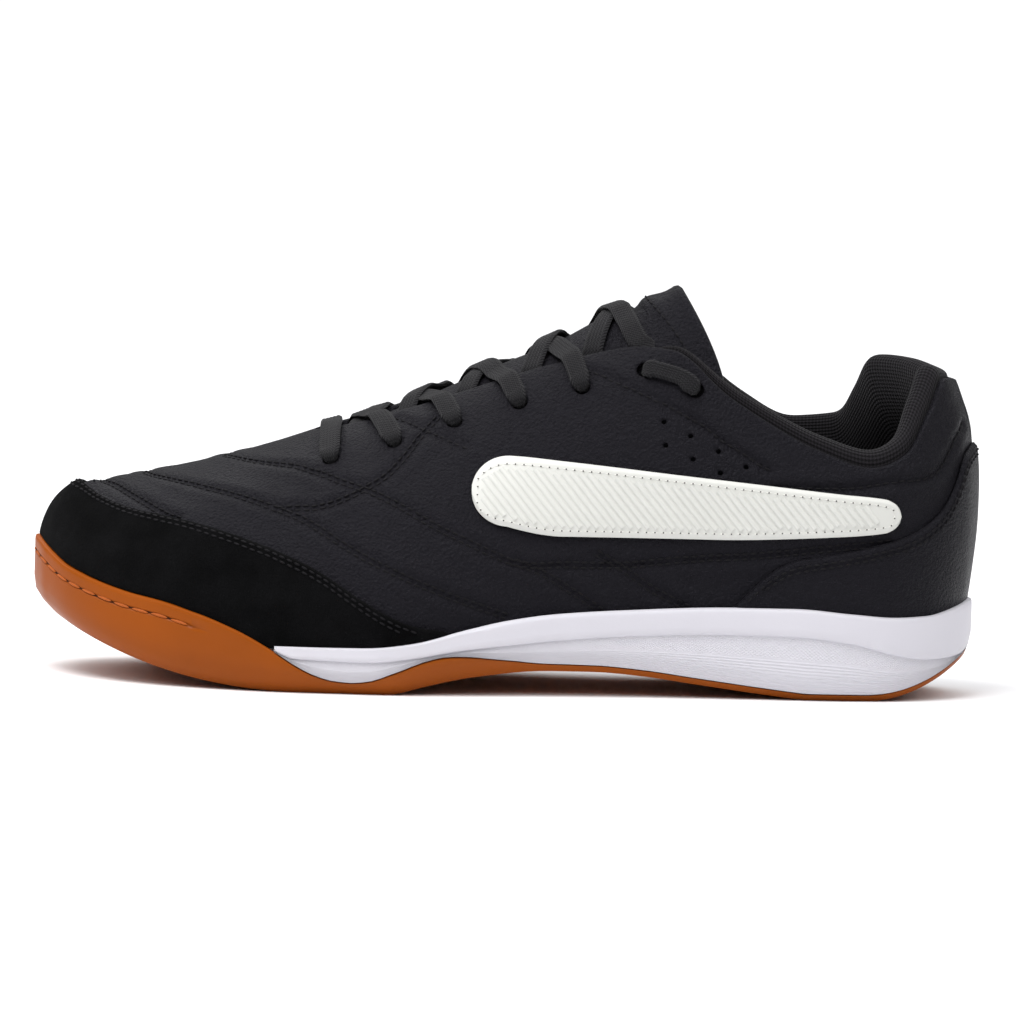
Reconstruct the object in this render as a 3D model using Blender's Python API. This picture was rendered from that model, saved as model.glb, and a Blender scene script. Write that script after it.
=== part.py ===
"""Indoor soccer shoe for the left foot, empty, standing on its sole.

Metres, +Z up.  The toe points to -X and the outer side of the foot to -Y.
The origin is on the floor, under the middle of the shoe.

The shoe is worked out from rungs: rung 0 is the toe tip, rung 18 the back of the heel.
Each rung has a foot point on the sole's outline and a crown point on the topline, on both
sides of the foot.  A point of the upper lies on the ray from foot to crown.
While a piece is worked out, x runs from the toe tip and y from the last's own centre line.
"""

import math

import bmesh
import bpy
import numpy as np
from mathutils import Vector
from mathutils.bvhtree import BVHTree

# Driving sizes of the last and the sole
LENGTH = 0.290
BALL_WIDTH = 0.1048
INSTEP_HEIGHT = 0.108
SOLE_HEIGHT = 0.030
TOE_SPRING = 0.022
ARCH_RISE = 0.0077
HEEL_LIFT = 0.0157

# Thicknesses and clearances
GAP = 0.0003
UPPER_WALL = 0.0020
OVERLAY = 0.0013
PANEL = 0.0014
TONGUE_THICK = 0.0042
COLLAR_THICK = 0.0095
INSOLE_THICK = 0.0040
RIM = 0.0026
GUM_BASE = 0.0032
GUM_LIP = 0.0004
TREAD_DEPTH = 0.0012
TREAD_WIDTH = 0.0030
EDGE_IN = 0.0050
EDGE_UP = 0.0080
SIDE_STEP = 0.0008

# Lacing
HOLE_DIAMETER = 0.0050
LACE_WIDTH = 0.0068
LACE_THICK = 0.0020
LACE_LIFT = 0.0013

# Places along the sole, shares of LENGTH
TOE_CENTRE = 0.207
HEEL_CENTRE = 0.880
SPRING_START = 0.293
LIFT_START = 0.883

# Rungs where the forms change
LAST_RUNG = 18
GUARD_ROWS = 5
COUNTER_ROWS = 4
PANEL_ROWS = 3
LEAST_BAND = 0.03
DRILL_CORNERS = 8
GUARD_END = 8.9
COUNTER_START = 11.85
PANEL_END_ROOM = 0.1
TONGUE_WINGS = (0.26, 0.13, 0.0)
ARCH_PARTS = 8
ARCH_ROUNDNESS = 2.3
LEAN_SHARPNESS = 1.5
WHITE_START = 6.8
THROAT_START = 7.2
COLLAR_START = 11.1

LATERAL = -1
MEDIAL = 1
SIDES = (LATERAL, MEDIAL)

# Outline of the sole.  Columns: rung, x share of LENGTH, outer and inner half width,
# shares of BALL_WIDTH.  The first and last rows mirror the ones beside the tips.
OUTLINE = (
    (-1, 0.0070, -0.168, -0.041),
    (0, 0.0000, -0.067, 0.067),
    (1, 0.0070, 0.041, 0.168),
    (2, 0.0170, 0.106, 0.228),
    (3, 0.0340, 0.188, 0.296),
    (4, 0.0690, 0.294, 0.363),
    (5, 0.1210, 0.391, 0.420),
    (6, 0.1900, 0.465, 0.464),
    (7, 0.2760, 0.511, 0.480),
    (8, 0.3620, 0.519, 0.450),
    (9, 0.4480, 0.482, 0.382),
    (10, 0.5520, 0.425, 0.315),
    (11, 0.6550, 0.382, 0.296),
    (12, 0.7590, 0.358, 0.317),
    (13, 0.8450, 0.345, 0.324),
    (14, 0.9030, 0.313, 0.299),
    (15, 0.9480, 0.248, 0.235),
    (16, 0.9776, 0.160, 0.146),
    (17, 0.9910, 0.076, 0.076),
    (18, 0.9952, 0.000, 0.000),
    (19, 0.9910, -0.076, -0.076),
)

# Arch under the shank.  Columns: x share of LENGTH, share of ARCH_RISE.
ARCH = (
    (0.386, 0.00),
    (0.421, 0.36),
    (0.472, 0.75),
    (0.545, 1.00),
    (0.597, 0.98),
    (0.645, 0.84),
    (0.703, 0.55),
    (0.766, 0.24),
    (0.820, 0.00),
)

# Height of the gum rubber's side above its own bottom edge.
# Columns: x share of LENGTH, share of SOLE_HEIGHT.
GUM_SIDE = (
    (0.000, 0.730),
    (0.034, 0.650),
    (0.097, 0.680),
    (0.138, 0.710),
    (0.176, 0.680),
    (0.217, 0.590),
    (0.248, 0.465),
    (0.279, 0.290),
    (0.300, 0.190),
    (0.321, 0.130),
    (0.341, 0.115),
    (0.362, 0.140),
    (0.386, 0.225),
    (0.431, 0.270),
    (0.462, 0.225),
    (0.500, 0.145),
    (0.545, 0.075),
    (0.650, 0.063),
    (0.824, 0.063),
    (1.000, 0.055),
)

# Side of the white midsole and its footbed.  Columns: x share of LENGTH, then the rim's top,
# the side step and the footbed as shares of SOLE_HEIGHT.
WHITE_SIDE = (
    (0.000, 0.960, 0.400, 0.930),
    (0.035, 0.860, 0.400, 0.815),
    (0.121, 0.650, 0.400, 0.590),
    (0.190, 0.530, 0.400, 0.493),
    (0.250, 0.477, 0.375, 0.447),
    (0.290, 0.477, 0.360, 0.440),
    (0.355, 0.483, 0.347, 0.417),
    (0.403, 0.533, 0.390, 0.440),
    (0.462, 0.683, 0.487, 0.505),
    (0.503, 0.777, 0.535, 0.550),
    (0.555, 0.850, 0.590, 0.585),
    (0.631, 0.900, 0.645, 0.625),
    (0.734, 0.943, 0.677, 0.660),
    (0.807, 0.947, 0.668, 0.680),
    (0.869, 0.900, 0.600, 0.685),
    (0.917, 0.867, 0.483, 0.690),
    (0.950, 0.877, 0.440, 0.695),
    (0.976, 0.933, 0.445, 0.700),
    (1.000, 1.017, 0.460, 0.700),
)

# Crown line of the upper.  Columns: rung; x share of LENGTH, y share of BALL_WIDTH and
# z share of INSTEP_HEIGHT on the outer side; the same on the inner side.
CROWN = (
    (0, 0.0620, 0.038, 0.540, 0.0620, 0.038, 0.540),
    (2, 0.0670, 0.038, 0.543, 0.0670, 0.038, 0.543),
    (3, 0.0790, 0.038, 0.548, 0.0790, 0.038, 0.548),
    (4, 0.1070, 0.036, 0.564, 0.1070, 0.036, 0.564),
    (5, 0.1520, 0.031, 0.590, 0.1520, 0.031, 0.590),
    (6, 0.2100, 0.027, 0.633, 0.2100, 0.027, 0.633),
    (7, 0.2760, 0.023, 0.689, 0.2760, 0.023, 0.689),
    (7.2, 0.2900, 0.021, 0.703, 0.2900, 0.021, 0.703),
    (7.4, 0.3040, -0.018, 0.715, 0.3040, 0.060, 0.715),
    (7.7, 0.3310, -0.058, 0.735, 0.3310, 0.098, 0.735),
    (8, 0.3590, -0.086, 0.756, 0.3590, 0.126, 0.756),
    (9, 0.4440, -0.112, 0.836, 0.4420, 0.148, 0.836),
    (10, 0.5440, -0.140, 0.928, 0.5400, 0.168, 0.930),
    (11, 0.6400, -0.190, 0.990, 0.6320, 0.205, 0.998),
    (11.4, 0.6720, -0.222, 0.983, 0.6620, 0.234, 0.998),
    (12, 0.7340, -0.272, 0.854, 0.7350, 0.284, 0.822),
    (13, 0.8270, -0.296, 0.714, 0.8000, 0.300, 0.722),
    (14, 0.8830, -0.282, 0.667, 0.8480, 0.290, 0.730),
    (15, 0.9210, -0.242, 0.706, 0.8800, 0.262, 0.818),
    (16, 0.9430, -0.178, 0.812, 0.9070, 0.205, 0.908),
    (17, 0.9610, -0.092, 0.912, 0.9430, 0.112, 0.916),
    (18, 0.9710, 0.000, 0.905, 0.9710, 0.000, 0.905),
)

# How each ray bends.  Columns: rung; the lower handle's height as a share of the ray's rise;
# how far the crown's handle reaches out, share of BALL_WIDTH; its drop, share of the rise;
# how far the lower handle swells out, share of BALL_WIDTH.
BEND = (
    (0, 0.48, 0.077, 0.03, -0.010),
    (3, 0.48, 0.100, 0.03, -0.005),
    (4, 0.48, 0.140, 0.02, 0.000),
    (5, 0.48, 0.200, 0.01, 0.005),
    (6, 0.48, 0.250, 0.00, 0.012),
    (7, 0.46, 0.270, 0.00, 0.018),
    (8, 0.45, 0.200, 0.08, 0.018),
    (9, 0.43, 0.170, 0.12, 0.016),
    (10, 0.42, 0.140, 0.14, 0.014),
    (11, 0.40, 0.120, 0.16, 0.012),
    (12, 0.40, 0.060, 0.30, 0.018),
    (13, 0.40, 0.036, 0.33, 0.024),
    (15, 0.40, 0.045, 0.33, 0.028),
    (16, 0.40, 0.060, 0.30, 0.032),
    (18, 0.40, 0.081, 0.28, 0.036),
)

# Top edge of the toe guard.  Columns: x share of LENGTH, z share of INSTEP_HEIGHT.
GUARD_EDGE = (
    (0.000, 0.542),
    (0.038, 0.541),
    (0.069, 0.507),
    (0.097, 0.486),
    (0.166, 0.461),
    (0.238, 0.412),
    (0.300, 0.347),
    (0.351, 0.265),
    (0.376, 0.228),
    (0.402, 0.199),
    (0.442, 0.181),
)

# Front and top edge of the heel counter, in the same columns.
COUNTER_EDGE = (
    (0.745, 0.268),
    (0.766, 0.330),
    (0.786, 0.375),
    (0.807, 0.401),
    (0.847, 0.421),
    (0.886, 0.444),
    (0.917, 0.467),
    (0.938, 0.494),
    (0.959, 0.543),
    (0.972, 0.609),
    (0.983, 0.700),
    (1.000, 0.741),
)

# Ribbed side panel: x share of LENGTH, then its low and high edge as shares of INSTEP_HEIGHT.
PANEL_EDGES = (
    (0.462, 0.600, 0.620),
    (0.472, 0.530, 0.668),
    (0.500, 0.480, 0.672),
    (0.560, 0.455, 0.662),
    (0.720, 0.455, 0.624),
    (0.850, 0.470, 0.590),
    (0.905, 0.485, 0.574),
    (0.915, 0.515, 0.545),
)

# Tongue.  Columns: rung of the row; the part of the ray where it turns under the throat's
# edge; the ridge's rise, share of INSTEP_HEIGHT; how far the ridge leans forward, share of
# LENGTH.
TONGUE_ROWS = (
    (6.9, 0.92, 0.000, 0.000),
    (7.2, 0.93, 0.003, 0.000),
    (7.5, 0.96, 0.006, 0.000),
    (8.0, 0.99, 0.015, 0.000),
    (8.5, 1.00, 0.025, 0.001),
    (9.0, 1.00, 0.035, 0.002),
    (9.5, 1.00, 0.042, 0.004),
    (10.0, 1.00, 0.050, 0.007),
    (10.5, 1.00, 0.068, 0.014),
    (11.0, 1.00, 0.090, 0.026),
    (11.4, 1.00, 0.132, 0.038),
    (11.7, 1.00, 0.238, 0.050),
    (12.0, 1.00, 0.345, 0.058),
)

# Padded collar.  Columns: rung; thickness, share of COLLAR_THICK; rise over the crown and
# depth below it, shares of INSTEP_HEIGHT.
COLLAR_ROWS = (
    (11.1, 0.12, 0.010, 0.10),
    (11.5, 0.28, 0.030, 0.14),
    (12, 0.42, 0.040, 0.19),
    (13, 0.62, 0.050, 0.23),
    (14, 0.80, 0.056, 0.24),
    (15, 0.95, 0.056, 0.25),
    (16, 1.00, 0.054, 0.26),
    (17, 1.00, 0.046, 0.26),
    (18, 0.95, 0.040, 0.26),
)

# Lace holes from toe to top.  Columns: x share of LENGTH, z share of INSTEP_HEIGHT, and
# where the lace comes out from under the throat's edge, x share of LENGTH.
HOLES = (
    (0.3120, 0.644, 0.340),
    (0.3790, 0.698, 0.393),
    (0.4420, 0.759, 0.456),
    (0.5100, 0.819, 0.524),
    (0.5760, 0.869, 0.588),
    (0.6410, 0.925, 0.630),
    (0.6960, 0.874, 0.690),
)

# Grooves across the tread, shares of LENGTH.
TREAD_GROOVES = (0.165, 0.235, 0.305, 0.375, 0.815, 0.870)

COLOURS = {
    "gum": (0.42, 0.16, 0.045, 0.50, 0.0),
    "white": (0.80, 0.80, 0.82, 0.55, 0.0),
    "leather": (0.012, 0.012, 0.014, 0.42, 0.0),
    "suede": (0.008, 0.008, 0.008, 0.95, 0.0),
    "mesh": (0.010, 0.010, 0.010, 0.85, 0.0),
    "lace": (0.012, 0.012, 0.012, 0.75, 0.0),
    "panel": (0.72, 0.73, 0.70, 0.50, 0.0),
    "liner": (0.020, 0.020, 0.022, 0.80, 0.0),
}


def reader(rows):
    """Return a function that reads a smooth curve through the rows at a value of column 1."""
    table = np.array(rows, dtype=float)
    keys = table[:, 0]
    values = table[:, 1:]
    rise = np.diff(values, axis=0) / np.diff(keys)[:, None]
    slope = np.zeros_like(values)
    before = rise[:-1]
    after = rise[1:]
    total = np.where(before + after == 0, 1.0, before + after)
    slope[1:-1] = np.where(before * after > 0, 2 * before * after / total, 0.0)
    slope[0] = rise[0]
    slope[-1] = rise[-1]

    def read(at):
        held = min(max(at, keys[0]), keys[-1])
        row = min(int(np.searchsorted(keys, held, side="right")) - 1, len(keys) - 2)
        step = keys[row + 1] - keys[row]
        t = (held - keys[row]) / step
        start = (1 + 2 * t) * (1 - t) ** 2 * values[row] + t * (1 - t) ** 2 * step * slope[row]
        end = t * t * (3 - 2 * t) * values[row + 1] + t * t * (t - 1) * step * slope[row + 1]
        return (start + end).tolist()

    return read


read_outline = reader(OUTLINE)
read_arch = reader(ARCH)
read_gum = reader(GUM_SIDE)
read_white = reader(WHITE_SIDE)
read_crown = reader(CROWN)
read_bend = reader(BEND)
read_guard = reader(GUARD_EDGE)
read_counter = reader(COUNTER_EDGE)
read_panel = reader(PANEL_EDGES)
read_tongue = reader(TONGUE_ROWS)
read_collar = reader(COLLAR_ROWS)

CENTRE_Y = BALL_WIDTH * (max(row[3] for row in OUTLINE) - max(row[2] for row in OUTLINE)) / 2
ORIGIN = Vector((LENGTH / 2, CENTRE_Y, 0.0))


def solve(function, low, high):
    """Return where a rising function crosses zero between low and high."""
    for _ in range(40):
        middle = (low + high) / 2
        if function(middle) < 0:
            low = middle
        else:
            high = middle
    return (low + high) / 2


def rung_range(first, last, step, extra=()):
    """Return the rungs from first to last, a step apart, with extra ones put in."""
    count = round((last - first) / step)
    rungs = [first + (last - first) * i / count for i in range(count + 1)]
    return sorted(set(rungs) | set(extra))


# Sole


def outline_point(side, rung, inset=0.0):
    """Point of the sole's outline, moved in from the edge, with z = 0."""
    x_share, lateral, medial = read_outline(rung)
    x = x_share * LENGTH
    y = (-lateral if side == LATERAL else medial) * BALL_WIDTH
    return Vector((x, y, 0.0)) - outward(side, rung) * inset


def outward(side, rung):
    """Level direction out of the shoe at a rung: square to the side, radial at both ends."""
    x_share, lateral, medial = read_outline(rung)
    anchor_share = min(max(x_share, TOE_CENTRE), HEEL_CENTRE)
    y = (-lateral if side == LATERAL else medial) * BALL_WIDTH
    return Vector(((x_share - anchor_share) * LENGTH, y, 0.0)).normalized()


def bottom_height(x):
    """Height of the tread above the floor: toe spring, ball flat, arch, heel flat, heel lift."""
    share = x / LENGTH
    if share < SPRING_START:
        return TOE_SPRING * ((SPRING_START - share) / SPRING_START) ** 2.2
    if share > LIFT_START:
        return HEEL_LIFT * ((share - LIFT_START) / (1 - LIFT_START)) ** 2
    return ARCH_RISE * read_arch(share)[0]


def edge_inset(height, rung):
    """How far the rounded lower edge lies in from the outline, at a height above the tread."""
    x_share = read_outline(rung)[0]
    back = min(max((x_share - LIFT_START) / (1 - LIFT_START), 0.0), 1.0)
    reach = EDGE_IN * (1 - 0.65 * back)
    return reach * max(0.0, 1 - height / EDGE_UP) ** 1.8


class SoleSection:
    """Heights and insets of the sole at one rung of one side."""

    def __init__(self, side, rung):
        self.side = side
        self.rung = rung
        share = read_outline(rung)[0]
        self.tread = bottom_height(outline_point(side, rung, edge_inset(0.0, rung)).x)
        gum = read_gum(share)[0] * SOLE_HEIGHT
        rim, step, bed = (value * SOLE_HEIGHT for value in read_white(share))
        self.gum_top = self.tread + gum
        self.base = min(GUM_BASE, gum - GUM_LIP)
        self.bed = bed
        self.opens = rung >= WHITE_START
        self.white_low = self.gum_top + GAP
        self.rim = max(rim, self.white_low + 4 * GAP) if self.opens else bed
        self.step = min(max(step, self.white_low + 2 * GAP), self.rim - 4 * GAP)

    def inset_at(self, height):
        """Inset of the outer face at a height above the floor."""
        return edge_inset(max(0.0, height - self.tread), self.rung)

    def at(self, inset, height):
        """Point at an inset and a height."""
        point = outline_point(self.side, self.rung, inset)
        return Vector((point.x, point.y, height))

    def over_tread(self, inset, lift):
        """Point at an inset, a lift above the tread that is under it."""
        point = outline_point(self.side, self.rung, inset)
        return Vector((point.x, point.y, bottom_height(point.x) + lift))

    def line(self):
        """Height of the line where the upper leaves the sole."""
        return max(self.gum_top, self.rim)

    def seat(self):
        """Inset of the upper's outer face."""
        return self.inset_at(self.bed) + RIM + GAP


def groove_depth(rung, section):
    """Depth of the tread's grooves at a rung: full in the middle of a groove, else none."""
    x = read_outline(rung)[0] * LENGTH
    reach = min(abs(x - share * LENGTH) for share in TREAD_GROOVES)
    full = min(TREAD_DEPTH, 0.45 * section.base)
    return full * max(0.0, 1 - 2 * reach / TREAD_WIDTH)


def rung_at(x):
    """Rung whose outline lies at x."""
    return solve(lambda rung: read_outline(rung)[0] * LENGTH - x, 0.0, float(LAST_RUNG))


def sole_rungs():
    """Rungs that all layers of the sole share, closer together where the gum rises in waves."""
    return rung_range(0, LAST_RUNG, 0.5, (WHITE_START, 7.25, 7.75, 8.25, 8.75, 9.25))


def tread_rungs():
    """Rungs of the outsole: regular ones, and three at each groove."""
    grooves = []
    for share in TREAD_GROOVES:
        for offset in (-TREAD_WIDTH / 2, 0.0, TREAD_WIDTH / 2):
            grooves.append(rung_at(share * LENGTH + offset))
    return sorted(set(sole_rungs()) | set(grooves))


def outsole_half(side, rung):
    """Points of the outsole's section on one side, from the middle of the tread round."""
    section = SoleSection(side, rung)
    depth = groove_depth(rung, section)
    edge = section.inset_at(section.tread)
    points = [
        section.over_tread(edge + 0.07 * BALL_WIDTH, depth),
        section.over_tread(edge + 0.02 * BALL_WIDTH, depth),
        section.at(edge, section.tread),
    ]
    for share in (0.2, 0.55, 1.0):
        height = section.tread + share * (section.gum_top - section.tread)
        points.append(section.at(section.inset_at(height), height))
    floor = section.tread + section.base
    middle = section.bed if not section.opens else (floor + section.gum_top) / 2
    for height in (section.gum_top, middle):
        points.append(section.at(section.inset_at(height) + RIM, height))
    points.append(section.over_tread(section.inset_at(floor) + RIM, section.base))
    return points


def midsole_half(side, rung, opened):
    """Points of the midsole's section on one side, from the bottom round to the footbed."""
    section = SoleSection(side, rung)
    floor = section.tread + section.base + GAP
    bottom = section.over_tread(section.inset_at(floor - GAP) + RIM + GAP, section.base + GAP)
    under = section.at(section.inset_at(section.gum_top) + RIM + GAP, section.white_low)
    bed = section.at(section.seat(), section.bed)
    if not section.opens:
        return [bottom] + [bed] * 10
    if not opened:
        return [bottom, under] + [bed] * 9
    low = section.white_low
    step = section.step
    rim = section.rim
    face = (
        (low, 0.0),
        (low + 0.5 * (step - low), 0.2 * SIDE_STEP),
        (step - GAP, SIDE_STEP),
        (step + GAP, 0.1 * SIDE_STEP),
        (step + 0.6 * (rim - step), 0.0),
        (rim - 2 * GAP, 0.15 * SIDE_STEP),
        (rim, 0.9 * SIDE_STEP),
    )
    points = [bottom, under]
    for height, inset in face:
        points.append(section.at(section.inset_at(height) + inset, height))
    points.append(section.at(RIM, rim))
    points.append(section.at(RIM if rung > WHITE_START else section.seat(), section.bed))
    return points


def insole_half(side, rung):
    """Points of the insole's section on one side: bottom edge, top edge."""
    section = SoleSection(side, rung)
    low = section.bed + GAP
    inset = section.seat() + UPPER_WALL + 5 * GAP
    return [section.at(inset, low), section.at(inset, low + 0.6 * INSOLE_THICK),
            section.at(inset + INSOLE_THICK, low + INSOLE_THICK)]


def sole_loops(half, rungs):
    """Closed sections, one for each rung, from a function that gives one side's points."""
    return [half(LATERAL, rung) + half(MEDIAL, rung)[::-1] for rung in rungs]


# Upper


def ray_ends(side, rung):
    """Foot and crown point of a ray, and the foot's point on the footbed."""
    section = SoleSection(side, rung)
    start = section.at(section.seat(), section.line() + GAP)
    bed = section.at(section.seat(), section.bed + GAP)
    values = read_crown(rung)
    x, y, z = values[:3] if side == LATERAL else values[3:]
    crown = Vector((x * LENGTH, y * BALL_WIDTH, z * INSTEP_HEIGHT))
    return bed, start, crown


def upper_point(side, rung, u):
    """Point of the upper's outer face: u = 0 at the sole line, 1 at the crown."""
    _, start, crown = ray_ends(side, rung)
    lift, reach, drop, swell = read_bend(rung)
    rise = crown.z - start.z
    out = outward(side, rung)
    low = start + out * (swell * BALL_WIDTH) + Vector((0, 0, lift * rise))
    high = crown + out * (reach * BALL_WIDTH) - Vector((0, 0, drop * rise))
    return ((1 - u) ** 3 * start + 3 * u * (1 - u) ** 2 * low
            + 3 * u * u * (1 - u) * high + u ** 3 * crown)


def upper_normal(side, rung, u):
    """Outward normal of the upper's outer face."""
    step = 0.02
    u_low = max(0.0, u - step)
    u_high = min(1.0, u + step)
    along = upper_point(side, rung + step, u) - upper_point(side, rung - step, u)
    if rung - step < 0:
        along = upper_point(side, rung + step, u) - upper_point(-side, rung + step, u)
    if rung + step > LAST_RUNG:
        along = upper_point(-side, rung - step, u) - upper_point(side, rung - step, u)
    up = upper_point(side, rung, u_high) - upper_point(side, rung, u_low)
    normal = along.cross(up) if side == LATERAL else up.cross(along)
    return normal.normalized()


def ray_share(side, rung, edge):
    """Part of the ray that lies below an edge, whose height is a function of x."""
    def above(u):
        point = upper_point(side, rung, u)
        return point.z - edge(point.x)
    if above(0.0) >= 0:
        return 0.0
    if above(1.0) <= 0:
        return 1.0
    return solve(above, 0.0, 1.0)


def find_on_upper(side, x, z):
    """Rung and part of the ray of the point that a side view shows at x and z."""
    def level(_):
        return z
    def behind(rung):
        return upper_point(side, rung, ray_share(side, rung, level)).x - x
    rung = solve(behind, 3.0, 17.5)
    return rung, ray_share(side, rung, level)


def stitch_grid(grid):
    """Points and faces of a sheet given as rows of points."""
    points = [point for row in grid for point in row]
    width = len(grid[0])
    faces = []
    for i in range(len(grid) - 1):
        for j in range(width - 1):
            a = i * width + j
            faces.append((a, a + width, a + width + 1, a + 1))
    return points, faces


def shell(grids, near, far):
    """Closed solid between two offsets of one or more sheets that share their edges."""
    sheet = bmesh.new()
    for grid in grids:
        points, faces = stitch_grid(grid)
        verts = [sheet.verts.new(point) for point in points]
        for face in faces:
            sheet.faces.new([verts[i] for i in face])
    bmesh.ops.remove_doubles(sheet, verts=sheet.verts, dist=1e-6)
    bmesh.ops.dissolve_degenerate(sheet, edges=sheet.edges, dist=1e-6)
    sheet.normal_update()
    sheet.verts.index_update()
    outer = {vert: vert.co + vert.normal * far for vert in sheet.verts}
    inner = {vert: vert.co + vert.normal * near for vert in sheet.verts}
    solid = bmesh.new()
    outer_verts = {vert: solid.verts.new(point) for vert, point in outer.items()}
    inner_verts = {vert: solid.verts.new(point) for vert, point in inner.items()}
    for face in sheet.faces:
        solid.faces.new([outer_verts[vert] for vert in face.verts])
        solid.faces.new([inner_verts[vert] for vert in reversed(face.verts)])
    for edge in sheet.edges:
        if len(edge.link_faces) == 1:
            loop = edge.link_loops[0]
            first = loop.vert
            second = loop.link_loop_next.vert
            solid.faces.new((outer_verts[second], outer_verts[first],
                             inner_verts[first], inner_verts[second]))
    sheet.free()
    return solid


def loft(loops, capped=False):
    """Closed solid through closed sections.  Sections that fold flat close the ends."""
    solid = bmesh.new()
    rings = [[solid.verts.new(point) for point in loop] for loop in loops]
    count = len(rings[0])
    for first, second in zip(rings, rings[1:]):
        for j in range(count):
            after = (j + 1) % count
            solid.faces.new((first[j], first[after], second[after], second[j]))
    if capped:
        solid.faces.new(rings[0])
        solid.faces.new(rings[-1])
    bmesh.ops.remove_doubles(solid, verts=solid.verts, dist=1e-6)
    bmesh.ops.dissolve_degenerate(solid, edges=solid.edges, dist=1e-6)
    return solid


# Objects


def material(name):
    """Plain material with its colour, roughness and metallic value."""
    known = bpy.data.materials.get(name)
    if known:
        return known
    red, green, blue, roughness, metallic = COLOURS[name]
    made = bpy.data.materials.new(name)
    made.use_nodes = True
    shader = made.node_tree.nodes["Principled BSDF"]
    shader.inputs["Base Color"].default_value = (red, green, blue, 1.0)
    shader.inputs["Roughness"].default_value = roughness
    shader.inputs["Metallic"].default_value = metallic
    return made


def make_object(name, solid, finish, smooth_angle=40):
    """Turn a solid into a named object, placed so that the origin is under its middle."""
    bmesh.ops.triangulate(solid, faces=solid.faces)
    bmesh.ops.recalc_face_normals(solid, faces=solid.faces)
    mesh = bpy.data.meshes.new(name)
    solid.to_mesh(mesh)
    solid.free()
    mesh.shade_smooth()
    mesh.set_sharp_from_angle(angle=math.radians(smooth_angle))
    mesh.materials.append(material(finish))
    made = bpy.data.objects.new(name, mesh)
    made.location = -ORIGIN
    bpy.context.scene.collection.objects.link(made)
    return made


def cutter_object(name, solid):
    """Object that only cuts others."""
    made = make_object(name, solid, "liner")
    made.hide_render = True
    made.display_type = "WIRE"
    return made


def add_boolean(target, tool, operation):
    """Boolean modifier with the exact solver."""
    modifier = target.modifiers.new(operation.lower(), "BOOLEAN")
    modifier.operation = operation
    modifier.solver = "EXACT"
    modifier.object = tool


def build_outsole():
    return make_object("outsole", loft(sole_loops(outsole_half, tread_rungs())), "gum")


def build_midsole():
    loops = []
    for rung in sole_rungs():
        for opened in ((False, True) if rung == WHITE_START else (True,)):
            lateral = midsole_half(LATERAL, rung, opened)
            medial = midsole_half(MEDIAL, rung, opened)
            loops.append(lateral + medial[::-1])
    return make_object("midsole", loft(loops), "white")


def build_insole():
    return make_object("insole", loft(sole_loops(insole_half, sole_rungs())), "liner")


RAY_PARTS = (0.0, 0.16, 0.32, 0.48, 0.64, 0.78, 0.90, 1.0)


def upper_rungs():
    return rung_range(0, LAST_RUNG, 0.5, (THROAT_START, 7.35, 7.75, 11.25))


def side_grid(side, rungs):
    """Rows of points of one side of the upper, faces turned out."""
    rows = []
    for rung in rungs:
        bed, _, _ = ray_ends(side, rung)
        rows.append([bed] + [upper_point(side, rung, u) for u in RAY_PARTS])
    return rows if side == LATERAL else [row[::-1] for row in rows]


def upper_solid():
    """Hollow upper: both sides meet at the toe, over the vamp and at the heel."""
    grids = [side_grid(side, upper_rungs()) for side in SIDES]
    return shell(grids, -UPPER_WALL, 0.0)


def hole_places(side):
    """Centre and outward normal of each lace hole on one side."""
    places = []
    for x_share, z_share, _ in HOLES:
        rung, u = find_on_upper(side, x_share * LENGTH, z_share * INSTEP_HEIGHT)
        places.append((upper_point(side, rung, u), upper_normal(side, rung, u)))
    return places


def hole_drill(centre, axis):
    """Short rod along a lace hole's axis."""
    across = axis.orthogonal().normalized()
    other = axis.cross(across)
    loops = []
    for reach in (-2 * UPPER_WALL, UPPER_WALL):
        ring = []
        for i in range(DRILL_CORNERS):
            angle = 2 * math.pi * i / DRILL_CORNERS
            spoke = across * math.cos(angle) + other * math.sin(angle)
            ring.append(centre + axis * reach + spoke * HOLE_DIAMETER / 2)
        loops.append(ring)
    return loft(loops, capped=True)


def join_solids(solids):
    """One bmesh that holds several solids."""
    joined = bmesh.new()
    for solid in solids:
        mesh = bpy.data.meshes.new("joining")
        solid.to_mesh(mesh)
        solid.free()
        joined.from_mesh(mesh)
        bpy.data.meshes.remove(mesh)
    return joined


def build_upper():
    made = make_object("upper", upper_solid(), "leather")
    drills = [hole_drill(*place) for side in SIDES for place in hole_places(side)]
    tool = cutter_object("lace_hole_drills", join_solids(drills))
    add_boolean(made, tool, "DIFFERENCE")
    return made


def band(side_rungs, low_edge, high_edge, thickness, parts):
    """Overlay of even thickness on the upper, between two edges, along a run of rays."""
    rows = []
    for side, rung in side_rungs:
        low = ray_share(side, rung, low_edge) if low_edge else 0.0
        high = ray_share(side, rung, high_edge)
        high = max(high, low + LEAST_BAND)
        row = []
        for i in range(parts + 1):
            row.append(upper_point(side, rung, low + (high - low) * i / parts))
        rows.append(row)
    return shell([rows], GAP, GAP + thickness)


def build_toe_guard():
    def edge(x):
        return read_guard(x / LENGTH)[0] * INSTEP_HEIGHT
    rungs = [rung for rung in upper_rungs() if rung < GUARD_END] + [GUARD_END]
    run = [(LATERAL, rung) for rung in rungs[::-1]] + [(MEDIAL, rung) for rung in rungs[1:]]
    guard = band(run[::-1], None, edge, OVERLAY, GUARD_ROWS)
    return make_object("toe_guard", guard, "suede")


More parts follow.
